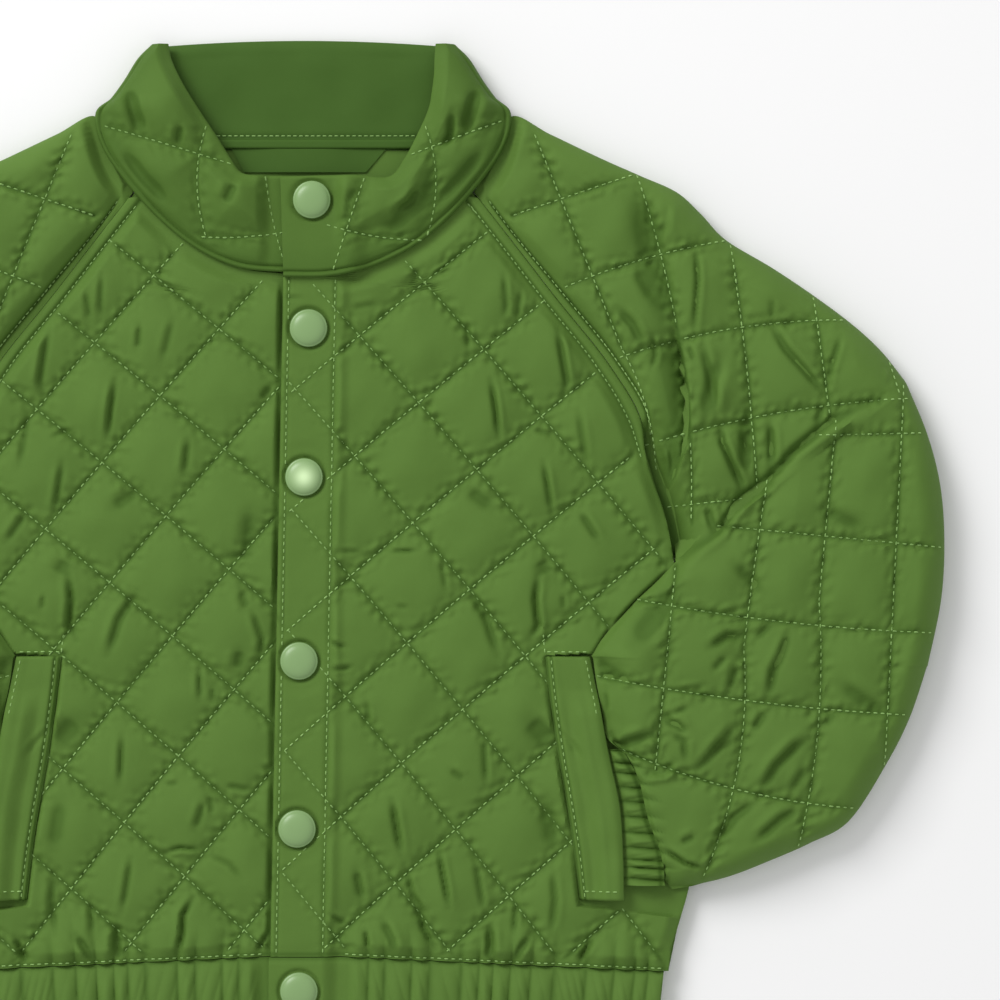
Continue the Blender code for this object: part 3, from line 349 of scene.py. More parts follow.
# Gathers of an elastic: uneven humps 1 - |2f - 1|^1.8 between sharp valleys, f being the
# place from one valley to the next. Each has its own size, and a share for its own reach.
def humps(along, wave, seed):
    own = np.random.default_rng(seed)
    count = int(900 / wave)
    valleys = -300 + np.cumsum(own.uniform(0.55, 1.45, count) * wave)
    sizes, shares = own.uniform(0.5, 1, count), own.uniform(0, 1, count)
    k = np.clip(np.searchsorted(valleys, along) - 1, 0, count - 2)
    f = np.clip((along - valleys[k]) / (valleys[k + 1] - valleys[k]), 0, 1)
    return sizes[k] * (1 - np.abs(2 * f - 1) ** 1.8), shares[k]


# sum of seeded sines in random directions, of about unit size and the given wavelength
waveTurns, wavePhases = rng.uniform(0, 2 * pi, 14), rng.uniform(0, 2 * pi, 14)
waveScales = rng.uniform(0.75, 1.35, 14)
def ripples(x, y, wavelength, shift=0.0):
    total = np.zeros(np.broadcast(x, y).shape)
    for turn, phase, scale in zip(waveTurns, wavePhases, waveScales):
        along = x * np.cos(turn + shift) + y * np.sin(turn + shift)
        total = total + np.sin(2 * pi * along * scale / wavelength + phase + 5 * shift)
    return total / 2.6


# ripples that are high beside a seam and gone 7 mm away, and soft ones between the seams
def puckers(distance, x, y, size=0.46):
    near = smooth(distance / 1.4) * bell(distance, 3.6)
    return size * near * ripples(x, y, 4.8) + 0.16 * ripples(x, y, 17.0, 0.7) * smooth(distance / 6)


# half width of the body, and of the neck above the raglan seam's upper end
def bodyEdge(y):
    return np.where(y > body["raglanTopY"], curve(neckHalfTable, y), curve(bodyEdgeTable, y))


# y of the hem seam: level across the tab, then drooping evenly outwards
def hemSeam(x):
    return body["hemSeamY"] - body["hemDroop"] * np.maximum(np.abs(x) - body["hemTabX"], 0)


# x of the left front's free edge, a straight line that leans
def placketEdge(y):
    return body["placketMidX"] + body["placketLean"] * (y - body["placketMidY"])


# distance to the neck seam, as the least over 140 points of it
def neckDistance(x, y):
    across = np.linspace(0, neckHeightTable[-1][0], 140)
    height = curve(neckHeightTable, across)
    best = np.full(np.broadcast(x, y).shape, 1e9)
    for a, h in zip(across, height):
        best = np.minimum(best, (np.abs(x) - a) ** 2 + (y - h) ** 2)
    return np.sqrt(best)


# the rows of a table with smooth ones between them, a column for each value
def between(rows, steps):
    table = np.array(rows, float)
    places = np.arange(len(table))
    fine = np.linspace(0, len(table) - 1, (len(table) - 1) * steps + 1)
    return np.array([curve(list(zip(places, column)), fine) for column in table.T])


# places p and q in the two families of diagonal seams, whole on a seam, and the
# distance in millimetres to the nearer one
def diamonds(side, x, y):
    column0, lean, row0 = quilt[side]
    width = quilt["halfWidth"] + quilt["taper"] * (y - quilt["midY"])
    column = (x - column0 - lean * (y - quilt["midY"])) / width
    row = (row0 - quilt["droop"] * x - y) / quilt["height"]
    p, q = row + column / 2, row - column / 2
    pitch = 1 / np.hypot(1 / (2 * width), 1 / quilt["height"])
    away = np.minimum(np.abs(p - np.round(p)), np.abs(q - np.round(q))) * pitch
    return p, q, away


# six times the signed volume, as fans of triangles from each face's first corner
def signedVolume(points, quads, rims):
    total = 0.0
    for k in (1, 2):
        total += np.einsum("ij,ij->", points[quads[:, 0]],
                           np.cross(points[quads[:, k]], points[quads[:, k + 1]]))
    for rim in rims:
        ring = points[rim]
        total += np.einsum("j,ij->", ring[0], np.cross(ring[1:-1], ring[2:]))
    return total


# a mesh in metres whose faces point outwards, with a value on each point, the seam attribute, that marks
# painted shade along seams, creases and hollows, and a painted highlight on one snap cap
def addMesh(name, points, quads, rims, material, marks=None):
    if signedVolume(points - points.mean(0), quads, rims) < 0:
        quads = quads[:, ::-1]
        rims = [rim[::-1] for rim in rims]
    mesh = bpy.data.meshes.new(name)
    mesh.from_pydata((points * mm).tolist(), [], quads.tolist() + rims)
    mesh.materials.append(material)
    mesh.shade_smooth()
    mesh.set_sharp_from_angle(angle=radians(62))
    if marks is not None:
        values = np.zeros(len(points), np.float32)
        values[:marks.size] = marks.ravel()
        # the seam attribute: painted shade on the cloth, a painted highlight on one cap
        mesh.attributes.new("seam", "FLOAT", "POINT").data.foreach_set("value", values)
    piece = bpy.data.objects.new(name, mesh)
    bpy.context.scene.collection.objects.link(piece)
    return piece


# quads of an indexed grid, the other way round if asked
def gridFaces(index, flip):
    a, b, c, d = index[:-1, :-1], index[:-1, 1:], index[1:, 1:], index[1:, :-1]
    return np.stack([a, d, c, b] if flip else [a, b, c, d], axis=-1).reshape(-1, 4)


# every nth place of a run, and its last one
def everyNth(count, n):
    return np.unique(np.concatenate([np.arange(0, count, n), [count - 1]]))


# A closed wall: a fine outer grid, a coarse inner one and rims between them. A tube's
# grid closes round on itself, and its rims are at its two ends alone.
def shell(name, outer, inner, material, coarse=8, tube=False, marks=None):
    rows, columns = outer.shape[:2]
    keepR, keepC = everyNth(rows, coarse), everyNth(columns, coarse)
    if tube:
        keepC = keepC[:-1] if columns - 1 - keepC[-2] < coarse else keepC
    high = np.arange(rows * columns).reshape(rows, columns)
    low = rows * columns + np.arange(len(keepR) * len(keepC)).reshape(len(keepR), len(keepC))
    points = np.concatenate([outer.reshape(-1, 3), inner[np.ix_(keepR, keepC)].reshape(-1, 3)])
    if tube:
        high = np.concatenate([high, high[:, :1]], axis=1)
        low = np.concatenate([low, low[:, :1]], axis=1)
        keepC = np.concatenate([keepC, [columns]])
    ends = [(high[0], low[0], keepC, True), (high[-1], low[-1], keepC, False)]
    if not tube:
        ends += [(high[:, 0], low[:, 0], keepR, False), (high[:, -1], low[:, -1], keepR, True)]
    quads = np.concatenate([gridFaces(high, False), gridFaces(low, True)])
    rims = []
    for above, below, keep, turned in ends:
        for k in range(len(keep) - 1):
            rim = [*above[keep[k]:keep[k + 1] + 1].tolist(), int(below[k + 1]), int(below[k])]
            rims.append(rim[::-1] if turned else rim)
    return addMesh(name, points, quads, rims, material, marks)


# a node with its settings, and each input linked to a socket or given a value
def addNode(tree, kind, inputs, **settings):
    node = tree.nodes.new("ShaderNode" + kind)
    for key, value in settings.items():
        setattr(node, key, value)
    for key, value in inputs.items():
        if isinstance(value, bpy.types.NodeSocket):
            tree.links.new(value, node.inputs[key])
        else:
            node.inputs[key].default_value = value
    return node.outputs


# the weave's inputs and outputs, the scales of its textures, and what is left of the
# colour's red, green and blue under full painted shade
weaveLook = {"inputs": {"Vector": "Vector", "Thread Scale": "Float", "Dark": "Color", "Light": "Color",
                        "Shade": "Float"},
             "outputs": {"Color": "Color", "Height": "Float"},
             "mottle": 60.0, "crumple": 210.0, "distortion": 1.2, "threadHeight": 0.3,
             "paintedShadeTint": (0.34, 0.44, 0.20)}


# Shared by all materials: a colour mottled between two tones and darkened by painted shade
# where the seam attribute marks it, and a height that is the crumples plus a share of two
# crossed waves, the threads
def clothGroup():
    look = weaveLook
    group = bpy.data.node_groups.new("clothWeave", "ShaderNodeTree")
    for way in ("inputs", "outputs"):
        for name, kind in look[way].items():
            group.interface.new_socket(name, in_out=way[:-1].upper(), socket_type="NodeSocket" + kind)
    given = group.nodes.new("NodeGroupInput").outputs
    at = given["Vector"]
    mottle = addNode(group, "TexNoise", {"Vector": at, "Scale": look["mottle"], "Detail": 4.0})["Fac"]
    crumple = addNode(group, "TexNoise", {"Vector": at, "Scale": look["crumple"], "Detail": 3.0})["Fac"]
    tones = addNode(group, "Mix", {0: mottle, 6: given["Dark"], 7: given["Light"]}, data_type="RGBA")[2]
    # painted shade: the tint the colour takes in seams, creases and hollows
    paintedShadeColour = addNode(group, "VectorMath", {0: tones, 1: look["paintedShadeTint"]}, operation="MULTIPLY")[0]
    shaded = addNode(group, "Mix", {0: given["Shade"], 6: tones, 7: paintedShadeColour}, data_type="RGBA")[2]
    wave = {"Vector": at, "Scale": given["Thread Scale"], "Distortion": look["distortion"]}
    threads = [addNode(group, "TexWave", wave, bands_direction=way)["Fac"] for way in ("X", "Y")]
    crossed = addNode(group, "Math", {0: threads[0], 1: threads[1]}, operation="MAXIMUM")[0]
    height = addNode(group, "Math", {0: crossed, 1: look["threadHeight"], 2: crumple},
                     operation="MULTIPLY_ADD")[0]
    out = group.nodes.new("NodeGroupOutput")
    group.links.new(shaded, out.inputs["Color"])
    group.links.new(height, out.inputs["Height"])
    return group


# two tones, how far the painted shade marked in the seam attribute darkens them, and the surface
finishes = {
    "quiltedCloth": {"dark": (0.090, 0.177, 0.029), "light": (0.108, 0.207, 0.036), "shade": 0.72,
                     "rough": 0.70, "specular": 0.16, "thread": 1300.0, "bump": 0.35},
    "plainLining": {"dark": (0.049, 0.110, 0.016), "light": (0.060, 0.130, 0.020), "shade": 0.6,
                    "rough": 0.70, "specular": 0.14, "thread": 1300.0, "bump": 0.30},
    "stitchThread": {"dark": (0.260, 0.440, 0.130), "light": (0.390, 0.610, 0.220), "shade": 0.0,
                     "rough": 0.60, "specular": 0.25, "thread": 2600.0, "bump": 0.10},
    "snapEnamel": {"dark": (0.205, 0.340, 0.128), "light": (0.225, 0.365, 0.142), "shade": 0.0,
                   "rough": 0.34, "specular": 0.45, "thread": 80.0, "bump": 0.0},
}


def finishMaterial(name, weave):
    look = finishes[name]
    material = bpy.data.materials.new(name)
    material.use_nodes = True
    tree = material.node_tree
    shader = tree.nodes["Principled BSDF"]
    shader.inputs["Roughness"].default_value = look["rough"]
    shader.inputs["Specular IOR Level"].default_value = look["specular"]
    inputs = {"Vector": addNode(tree, "TexCoord", {})["Object"], "Thread Scale": look["thread"],
              "Dark": (*look["dark"], 1), "Light": (*look["light"], 1)}
    if look["shade"] > 0:
        # painted shade: the seam attribute, scaled, mixes the colour towards its painted shade tint
        seam = addNode(tree, "Attribute", {}, attribute_name="seam")["Fac"]
        inputs["Shade"] = addNode(tree, "Math", {0: seam, 1: look["shade"]}, operation="MULTIPLY")[0]
    cloth = addNode(tree, "Group", inputs, node_tree=weave)
    tree.links.new(cloth["Color"], shader.inputs["Base Color"])
    if look["bump"] > 0:
        bump = {"Strength": look["bump"], "Distance": 0.0006, "Height": cloth["Height"]}
        tree.links.new(addNode(tree, "Bump", bump)["Normal"], shader.inputs["Normal"])
    return material


# the enamel with a painted highlight: a pale colour where the cap's seam attribute marks its centre
def paintedHighlightEnamel(material):
    paintedHighlight = material.copy()
    paintedHighlight.name = "paintedHighlightEnamel"
    tree = paintedHighlight.node_tree
    base = tree.nodes["Principled BSDF"].inputs["Base Color"]
    centre = addNode(tree, "Attribute", {}, attribute_name="seam")["Fac"]
    # painted highlight: the pale colour mixed in at the cap's centre
    blend = {0: centre, 6: base.links[0].from_socket, 7: (0.68, 0.90, 0.50, 1)}
    tree.links.new(addNode(tree, "Mix", blend, data_type="RGBA")[2], base)
    return paintedHighlight


weave = clothGroup()
quiltedCloth, plainLining, stitchThread, snapEnamel = [finishMaterial(name, weave) for name in finishes]
paintedHighlightSnapEnamel = paintedHighlightEnamel(snapEnamel)
print("materials made")


# every piece is fixed to the one body; a cloth or a cap takes the place of its solid
def onRoot(piece, nodes=()):
    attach(piece, "root")
    if nodes:
        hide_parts(*nodes)
    return piece


# the lining's pieces by their solids' nodes; all others are of quilted cloth
linings = {"collar_inner": "lining_collar_back", "neck_tape": "lining_neck_tape",
           "back_facing": "lining_back_facing"}


# the shell between an upper surface and the floor under it, mirrored for the right side,
# in the place of its solid
def wall(node, x, y, top, floor, side="left", coarse=8, marks=None):
    x, y, top, floor = np.broadcast_arrays(signs[side] * x, y, top, floor)
    outer, inner = np.stack([x, y, top], -1), np.stack([x, y, floor], -1)
    name = linings.get(node, "cloth_" + node)
    lined = node in linings
    piece = shell(name, outer, inner, plainLining if lined else quiltedCloth, coarse, marks=marks)
    return onRoot(piece, [node])


# numbers from one value to another down a grid's rows, and along its columns
def downRows(count, first=0, last=1):
    return np.linspace(first, last, count)[:, None]


def alongColumns(count, first=0, last=1):
    return np.linspace(first, last, count)[None, :]


frontLook = {"rows": 392, "columns": 188, "edgeRoll": 1.0, "cord": 4.4, "acrossPlacket": 0.14,
             "snapRing": 1.0, "snapRim": 7.9, "seat": 11.0, "creases": 1.5,
             "gathers": 3.0, "wave": 9.5, "gatherReach": (10, 16), "gathersFrom": 14,
             "underForearm": 0.6, "coverFade": 1.8, "placketFade": 3.5, "placketRow": 2.4}


# distance to the middle of the nearest snap
def fromSnap(x, y):
    return np.min([np.hypot(x - s[0], y - s[1]) for s in snapPlaces], axis=0)


# flat cloth round each snap: 1 on its seat, fading over 5 mm
def isSeat(x, y):
    return 1 - smooth((fromSnap(x, y) - frontLook["seat"]) / 5)


# the dimple that a snap's rim presses round itself
def snapRing(x, y):
    return frontLook["snapRing"] * bell(fromSnap(x, y) - frontLook["snapRim"], 0.9)


# how far a place lies past the placket's inner seam
def pastPlacket(x, y):
    return x - placketEdge(y) - body["placketWidth"]


# level on the right, and a smooth climb over the right one's edge on the left
def frontFloor(side, x, y):
    if side == "right":
        return np.full(np.broadcast(x, y).shape, layers["frontFloor"])
    return layers["frontFloor"] + layers["overlap"] * (1 - smooth(pastPlacket(x, y) / 7))


# width of the cord beside the raglan seam, which narrows towards the armpit
def cordWidth(y):
    return frontLook["cord"] * (0.3 + 0.7 * smooth((y - 26) / 26))


# floor + seam + puff * pillow, faded at the edges and under what lies on it, with the
# creases, the gathers over the hem and the sewn lines; and painted shade along the seams,
# in the creases, the gathers' valleys, the sewn rows and the dimples round the snaps
def frontTop(side, x, y):
    look = frontLook
    p, q, away = diamonds(side, x, y)
    overHem = y - hemSeam(x)
    onRaglan = smooth((y - 26) / 8)
    toEdge = (bodyEdge(y) - x) * 0.8
    corded = cordWidth(y)
    fade = smooth((toEdge - corded * onRaglan) / 5) * smooth(overHem / 6)
    fade = fade * smooth((neckDistance(x, y) - 3.5) / 6)
    uncovered = smooth((straight(coveredTable, y) - x) / look["coverFade"])
    rise = layers["puff"] * pillow(p, q) * fade * uncovered
    rise = rise + look["underForearm"] * (1 - uncovered) * smooth((y + 47) / 3)
    loose = fade * uncovered
    # painted shade along the quilting seams
    marks = bell(away, 1.0) * loose
    if side == "left":
        placket = 1 - smooth(pastPlacket(x, y) / look["placketFade"])
        seat = 1 - isSeat(x, y)
        rise = rise * (1 - (1 - look["acrossPlacket"]) * placket) * seat
        marks = marks * (1 - 0.55 * placket) * seat
        small = loose * (1 - 0.75 * placket) * seat
        creased = loose * seat
    else:
        # flat close to the other front's edge, and in its shade
        fromEdge = x + placketEdge(y)
        shown = smooth((fromEdge - 0.5) / 2)
        rise = rise * shown
        marks = np.maximum(marks, 0.5 * bell(fromEdge - 1.0, 1.4) * (y < body["neckY"]))
        small = creased = loose * shown
    creases = leftFrontCreases if side == "left" else rightFrontCreases
    folds = look["creases"] * creased * creaseRelief(creases, x, y)
    rise = rise + small * puckers(away, x, y) + folds
    # painted shade in the troughs of the creases
    marks = np.maximum(marks, 0.7 * np.clip(-folds, 0, 1))
    # gathers over the hem, with painted shade in their valleys
    hump, share = humps(x + 0.1 * overHem * np.sin(x / 21), look["wave"], 11)
    shortest, more = look["gatherReach"]
    above = np.clip(1 - overHem / (shortest + more * share), 0, 1) ** 1.3
    drawn = above * smooth((x - look["gathersFrom"]) / 6) * uncovered
    rise = rise + look["gathers"] * hump * drawn
    marks = np.maximum(marks, 0.7 * bell(hump, 0.22) * drawn)
    # a cord between the raglan seam and its row of stitches, with painted shade in the row and along the
    # hem seam
    cord = bell(toEdge - corded / 2, 1.6) * 0.4 - 0.7 * bell(toEdge - corded, 0.8)
    cord = cord * onRaglan * uncovered
    rise = rise + cord - 0.5 * (1 - rounded(toEdge / look["edgeRoll"]))
    marks = np.maximum(marks, bell(toEdge - corded, 0.9) * onRaglan)
    marks = np.maximum(marks, 0.8 * bell(overHem - 1.0, 0.9) * uncovered)
    if side == "left":
        # the placket's two rows of stitches, and its rounded free edge, with painted shade in the rows and
        # in the dimple round each snap
        inner = pastPlacket(x, y)
        edge = x - placketEdge(y) - look["placketRow"]
        clear = 1 - 0.6 * isSeat(x, y)
        rise = rise - (0.5 * bell(inner, 0.9) + 0.4 * bell(edge, 0.8)) * clear - snapRing(x, y)
        rise = rise - 1.2 * (1 - rounded((x - placketEdge(y)) / 1.6))
        marks = np.maximum(marks, 0.7 * np.maximum(bell(inner, 0.8), bell(edge, 0.7)) * clear)
        marks = np.maximum(marks, snapRing(x, y) * 0.7)
    return frontFloor(side, x, y) + layers["seam"] + rise, marks


# rows follow the hem low down and the droop of the quilting above it; each runs from
# the placket or the neck to the side seam
def frontGrid(side):
    low, blendOver = body["hemSeamY"], 20
    height = np.concatenate([low + np.linspace(0, blendOver, 29)[:-1],
                             np.linspace(low + blendOver, 142.0, frontLook["rows"] - 28)])
    sample = np.arange(-16, 160, 0.1)
    blend = smooth((height - low) / blendOver)[:, None]
    def rowY(x):
        level = height[:, None] + (hemSeam(x) - low) * (1 - blend)
        return level - quilt["droop"] * x * blend
    y = rowY(sample[None, :])
    near = placketEdge(y) if side == "left" else -placketEdge(y) - body["underlap"]
    start = np.where(y < body["neckY"], near, np.maximum(curve(neckHalfTable, y), near))
    inside = (sample[None, :] >= start) & (sample[None, :] <= curve(bodyEdgeTable, y))
    wide = inside.sum(1) >= 30
    height, blend, inside = height[wide], blend[wide], inside[wide]
    first = sample[inside.argmax(1)]
    last = sample[inside.shape[1] - 1 - inside[:, ::-1].argmax(1)]
    u = alongColumns(frontLook["columns"])
    x = first[:, None] + (last - first)[:, None] * u
    return x, rowY(x)


# a front's wall between frontTop and frontFloor
def makeFront(side):
    x, y = frontGrid(side)
    top, marks = frontTop(side, x, y)
    piece = wall("front_" + side, x, y, top, frontFloor(side, x, y), side, marks=marks)
    return piece


sleeveLook = {"steps": 15, "across": 150, "under": 22, "thick": 1.5, "strip": 3.8, "level": 6.4,
              "rim": 5.4, "rimRamp": 12.0, "ramp": 17.0, "forearmRamp": 20.0, "reach": 15.0,
              "cleft": 8.0, "cuffGathers": 2.4, "cuffWave": 5.6, "creases": 1.4}
# the step: its rise on the right and drop on the left, with how far each reaches, and
# how dark its shade is, where that starts to fade and over how much
stepLook = {"rise": 1.6, "riseReach": 14, "drop": 5.5, "dropReach": 11,
            "shade": 0.7, "shadeEnd": 16, "shadeFade": 12}


# the upper sleeve lies on the surface; the forearm's floor is level on the body and comes
# down over 7.8 mm past its edge
def sleeveFloor(isForearm, x, y):
    if not isForearm:
        return np.zeros(np.broadcast(x, y).shape)
    return layers["overBody"] * (1 - smooth((x - curve(bodyEdgeTable, y) - 1.2) / 7.8))


# inner end of the upper sleeve's sections, at the raglan seam
def sleeveSeam(innerY):
    return curve(bodyEdgeTable, innerY) + 0.1


# the step in the upper sleeve, rise exp(-d / reach) on its right and -drop exp(-d / reach)
# on its left, both fading towards its ends; and the shade on the left
def stepRelief(x, y):
    look = stepLook
    away, aside, t = alongRun(overlapStep, x, y)
    ends = smooth(t / 0.2) * smooth((1 - t) / 0.15)
    over = smooth(aside / 0.9 + 0.5)
    rise = (look["rise"] * over * np.exp(-away / look["riseReach"])
            - look["drop"] * (1 - over) * np.exp(-away / look["dropReach"]))
    shade = smooth((look["shadeEnd"] - away) / look["shadeFade"])
    return ends * rise, look["shade"] * ends * (1 - over) * shade


# the two ends of each section carried along the arm, and the height over the places
# between them: crown, rounded at both ends, plus the quilting and the creases; and painted
# shade in the seams, creases, step, gathers, cleft and row
def sleeveTop(rows, isForearm, u):
    innerX, innerY, outerX, outerY, innerRise, crownIn, crownOut = rows[:, :, None]
    if not isForearm:
        innerX = sleeveSeam(innerY)
    x = innerX + (outerX - innerX) * u
    y = innerY + (outerY - innerY) * u
    width = np.hypot(outerX - innerX, outerY - innerY)
    places = width * u
    floor = sleeveFloor(isForearm, x, y)
    down, across = (forearmDown, forearmAcross) if isForearm else (upperDown, upperAcross)
    strip = 0 if isForearm else sleeveLook["strip"]
    full = smooth(np.minimum((places - strip) / (3.5 if isForearm else 7.0),
                             (width - places) / sleeveLook["rimRamp"]))
    away = np.minimum(nearest(down, x, y), nearest(across, x, y))
    creases = forearmCreases if isForearm else upperCreases
    folds = sleeveLook["creases"] * creaseRelief(creases, x, y)
    relief = (layers["puff"] * (seamPillow(down, across, x, y, sleeveLook["reach"]) - 0.5)
              + folds + puckers(away, x, y, 0.55))
    # painted shade along the seams and in the crease troughs
    marks = np.maximum(bell(away, 1.0), 0.7 * np.clip(-folds, 0, 1)) * full
    if isForearm:
        soft = smooth((innerY + 92) / 10)
        start = floor[:, :1] + 1.4 - 0.5 * soft + (0.6 - 0.3 * soft) * innerRise
        crownIn = crownIn - 2
        ramp = sleeveLook["forearmRamp"]
    else:
        step, shade = stepRelief(x, y)
        relief = relief + step
        marks = np.maximum(marks, shade)
        start = sleeveLook["level"]
        ramp = sleeveLook["ramp"]
        soft = 0
    crown = crownIn + (crownOut - crownIn) * smooth((u - 0.3) / 0.45)
    climb = rounded((places - strip) / ramp)
    climb = climb + (np.sin(pi / 2 * np.clip(places / ramp, 0, 1)) - climb) * soft
    top = start + (crown - start) * climb
    rim = sleeveLook["rim"]
    top = np.minimum(top, rim + (crown - rim) * rounded((width - places) / sleeveLook["rimRamp"]))
    top = top + relief * full
    if isForearm:
        # gathers where the elastic of the cuff draws it in, with painted shade in their valleys
        hump, share = humps(y + 0.2 * x, sleeveLook["cuffWave"], 23)
        drawn = smooth((-80 - innerY) / 8) * smooth(1 - places / (8 + 8 * share))
        top = top + sleeveLook["cuffGathers"] * (hump - 0.4) * drawn
        marks = np.maximum(marks, 0.8 * bell(hump, 0.2) * drawn)
    else:
        # the cleft below the armpit, and a cord with a row of stitches beside the seam, with painted shade
        # in the cleft and in the row
        low = smooth((46 - innerY) / 12) * smooth((innerY + 18) / 12)
        top = top - sleeveLook["cleft"] * bell(places, 9.0) * low
        marks = np.maximum(marks, 0.95 * bell(places, 2 + 8 * smooth((20 - innerY) / 24)) * low)
        onSeam = smooth((width - 14) / 10) * (1 - low)
        row = bell(places - strip, 0.8) * onSeam
        top = top + (0.35 * bell(places - strip / 2, 1.4) * onSeam - 0.8 * row)
        marks = np.maximum(marks, row)
        inNeck = 1 - smooth((neckDistance(x, y) - 3) / 5)
        top = top + (np.minimum(top, layers["seamTop"] - 0.3) - top) * inNeck
    return x, y, np.maximum(top, floor + 1.2), width, floor, marks


# a tube, fine over the top and coarse underneath, open at both ends: its inner wall is
# the outer one moved in by the cloth's thickness
def makeSleeve(side):
    def points(x, y, z):
        return np.stack([signs[side] * x, y, z], -1)

    u = alongColumns(sleeveLook["across"])
    u = 0.7 * u + 0.3 * (0.5 - 0.5 * np.cos(pi * u))     # closer together at the edges
    under = alongColumns(sleeveLook["under"], 1, 0)[:, 1:-1]
    outer, inner, shades = [], [], []
    for table, isForearm in ((upperSleeve, False), (forearm, True)):
        rows = between(table, sleeveLook["steps"])
        x, y, top, width, floor, marks = sleeveTop(rows, isForearm, u)
        startX, startY = x[:, :1], y[:, :1]
        acrossX, acrossY = x[:, -1:] - startX, y[:, -1:] - startY
        lowX, lowY = startX + acrossX * under, startY + acrossY * under
        low = sleeveFloor(isForearm, lowX, lowY)
        low = np.maximum(low, 3.0 * smooth(1 - width * (1 - under) / 5.0))
        outer.append(np.concatenate([points(x, y, top), points(lowX, lowY, low)], axis=1))
        shades.append(np.concatenate([marks, 0 * low], axis=1))
        thin = np.minimum(sleeveLook["thick"], 0.35 * (top - floor))
        edge = np.minimum(sleeveLook["thick"] / width, 0.2)
        uIn, underIn = np.clip(u, edge, 1 - edge), np.clip(under, edge, 1 - edge)
        inner.append(np.concatenate([
            points(startX + acrossX * uIn, startY + acrossY * uIn, top - thin),
            points(startX + acrossX * underIn, startY + acrossY * underIn, low + 0.6)], axis=1))
    piece = shell("cloth_sleeve_" + side, np.concatenate(outer), np.concatenate(inner),
                  quiltedCloth, coarse=6, tube=True, marks=np.concatenate(shades))
    onRoot(piece, ["sleeve_" + side])
    return piece


collarLook = {"steps": 15, "across": 72, "lift": 3.0, "ramp": 30.0, "piping": 0.5, "groove": 0.9,
              "shade": 0.28, "shadeBelow": 0.36, "puff": 1.3, "creases": 1.5, "reach": 14.0}


# the right half has its own inner ends, and its seam starts a little higher
def collarTable(side):
    if side == "left":
        return collarRows
    rows = [(*row[:2], *ends, row[4]) for row, ends in zip(collarRows, rightCollarInner)]
    return [(row[0], 104.6, *row[2:]) for row in rows[:2]] + rows[2:]


# bands from the neck seam (t = 0) to the fold at the top (t = 1): piping along the seam
# with a groove above it, then a rise to a padded roll
def collarShape(side, t):
    outX, outY, inX, inY, crown = between(collarTable(side), collarLook["steps"])[:, :, None]
    past = np.arange(outX.shape[0])[:, None] / collarLook["steps"] - 6
    width = np.hypot(inX - outX, inY - outY)
    x = outX + (inX - outX) * t
    y = outY + (inY - outY) * t
    places = t * width
    lap = 1 - smooth((x - 18) / 9)
    lift = layers["overlap"] * lap if side == "left" else 0 * x
    under = layers["collarFloor"] + lift
    lines = collarSeams[side]
    away = nearest(lines, x, y)
    loose = smooth((x - (12 if side == "left" else 13)) / 6)
    edges = smooth(np.minimum(t, 1 - t) * width / 6)
    climb = smooth(places / collarLook["ramp"])
    puff = collarLook["puff"] * layers["puff"]
    quilting = puff * seamPillow(lines, lines, x, y, collarLook["reach"]) * edges
    rise = (0.4 + quilting) * (0.4 + 0.6 * climb)
    rise = (rise + collarLook["lift"] * climb) * loose
    folds = collarLook["creases"] * creaseRelief(collarCreases[side], x, y)
    rise = rise + loose * edges * (puckers(away, x, y, 0.40) + folds)
    top = under + layers["seam"] + rise + crown * np.sin(pi * t)
    edge = np.minimum(0.9 * rounded(places / 4), 1.4 * rounded((1 - t) * width / 5))
    top = top + (edge - 1.2 if side == "left" else np.minimum(edge - 1.2, -0.3))
    sewn = smooth((width - 10) / 6)
    groove = bell(places - 2.2, 0.6) * sewn
    top = top + (collarLook["piping"] * bell(places - 0.8, 0.8) * sewn - collarLook["groove"] * groove)
    # painted shade along the seams, in the crease troughs and in the groove
    marks = np.maximum(bell(away, 1.0), 0.8 * np.clip(-folds, 0, 1)) * loose * edges
    marks = np.maximum(marks, 0.8 * groove)
    # painted shade over the whole collar, deeper near the neck seam
    marks = np.maximum(marks, collarLook["shade"] + collarLook["shadeBelow"] * (1 - smooth(places / 18)))
    if side == "left":
        top = top - snapRing(x, y)
        # painted shade in the dimple round the snap
        marks = np.maximum(marks, 0.7 * snapRing(x, y))
    # past the body the outer end comes down to the floor and the inner edge stays up
    down = smooth(past)
    onFloor = down * smooth((x - 56.5) / 6)
    rim = 2.6 * down * np.clip(1 - t / 0.16, 0, 1)
    under = np.maximum(under * (1 - onFloor), rim)
    low = 4.6 + (top - 4.6) * rounded(t / 0.14)
    top = np.maximum(top * (1 - down) + low * down, under + 0.8)
    return x, y, top, under, marks


# half the collar, between the surface and the floor of collarShape
def makeCollar(side):
    x, y, top, under, marks = collarShape(side, alongColumns(collarLook["across"]))
    piece = wall("collar_" + side, x, y, top, under, side, coarse=5, marks=marks)
    return piece


innerLook = {"halfWidth": 55.0, "topBow": 2.2, "soft": 0.16, "rowY": 159.2, "rowDepth": 0.3,
             "tapeFrom": -40.0, "tapeTo": 47.0, "tapeWidth": 3.6, "facingY": 144.6}


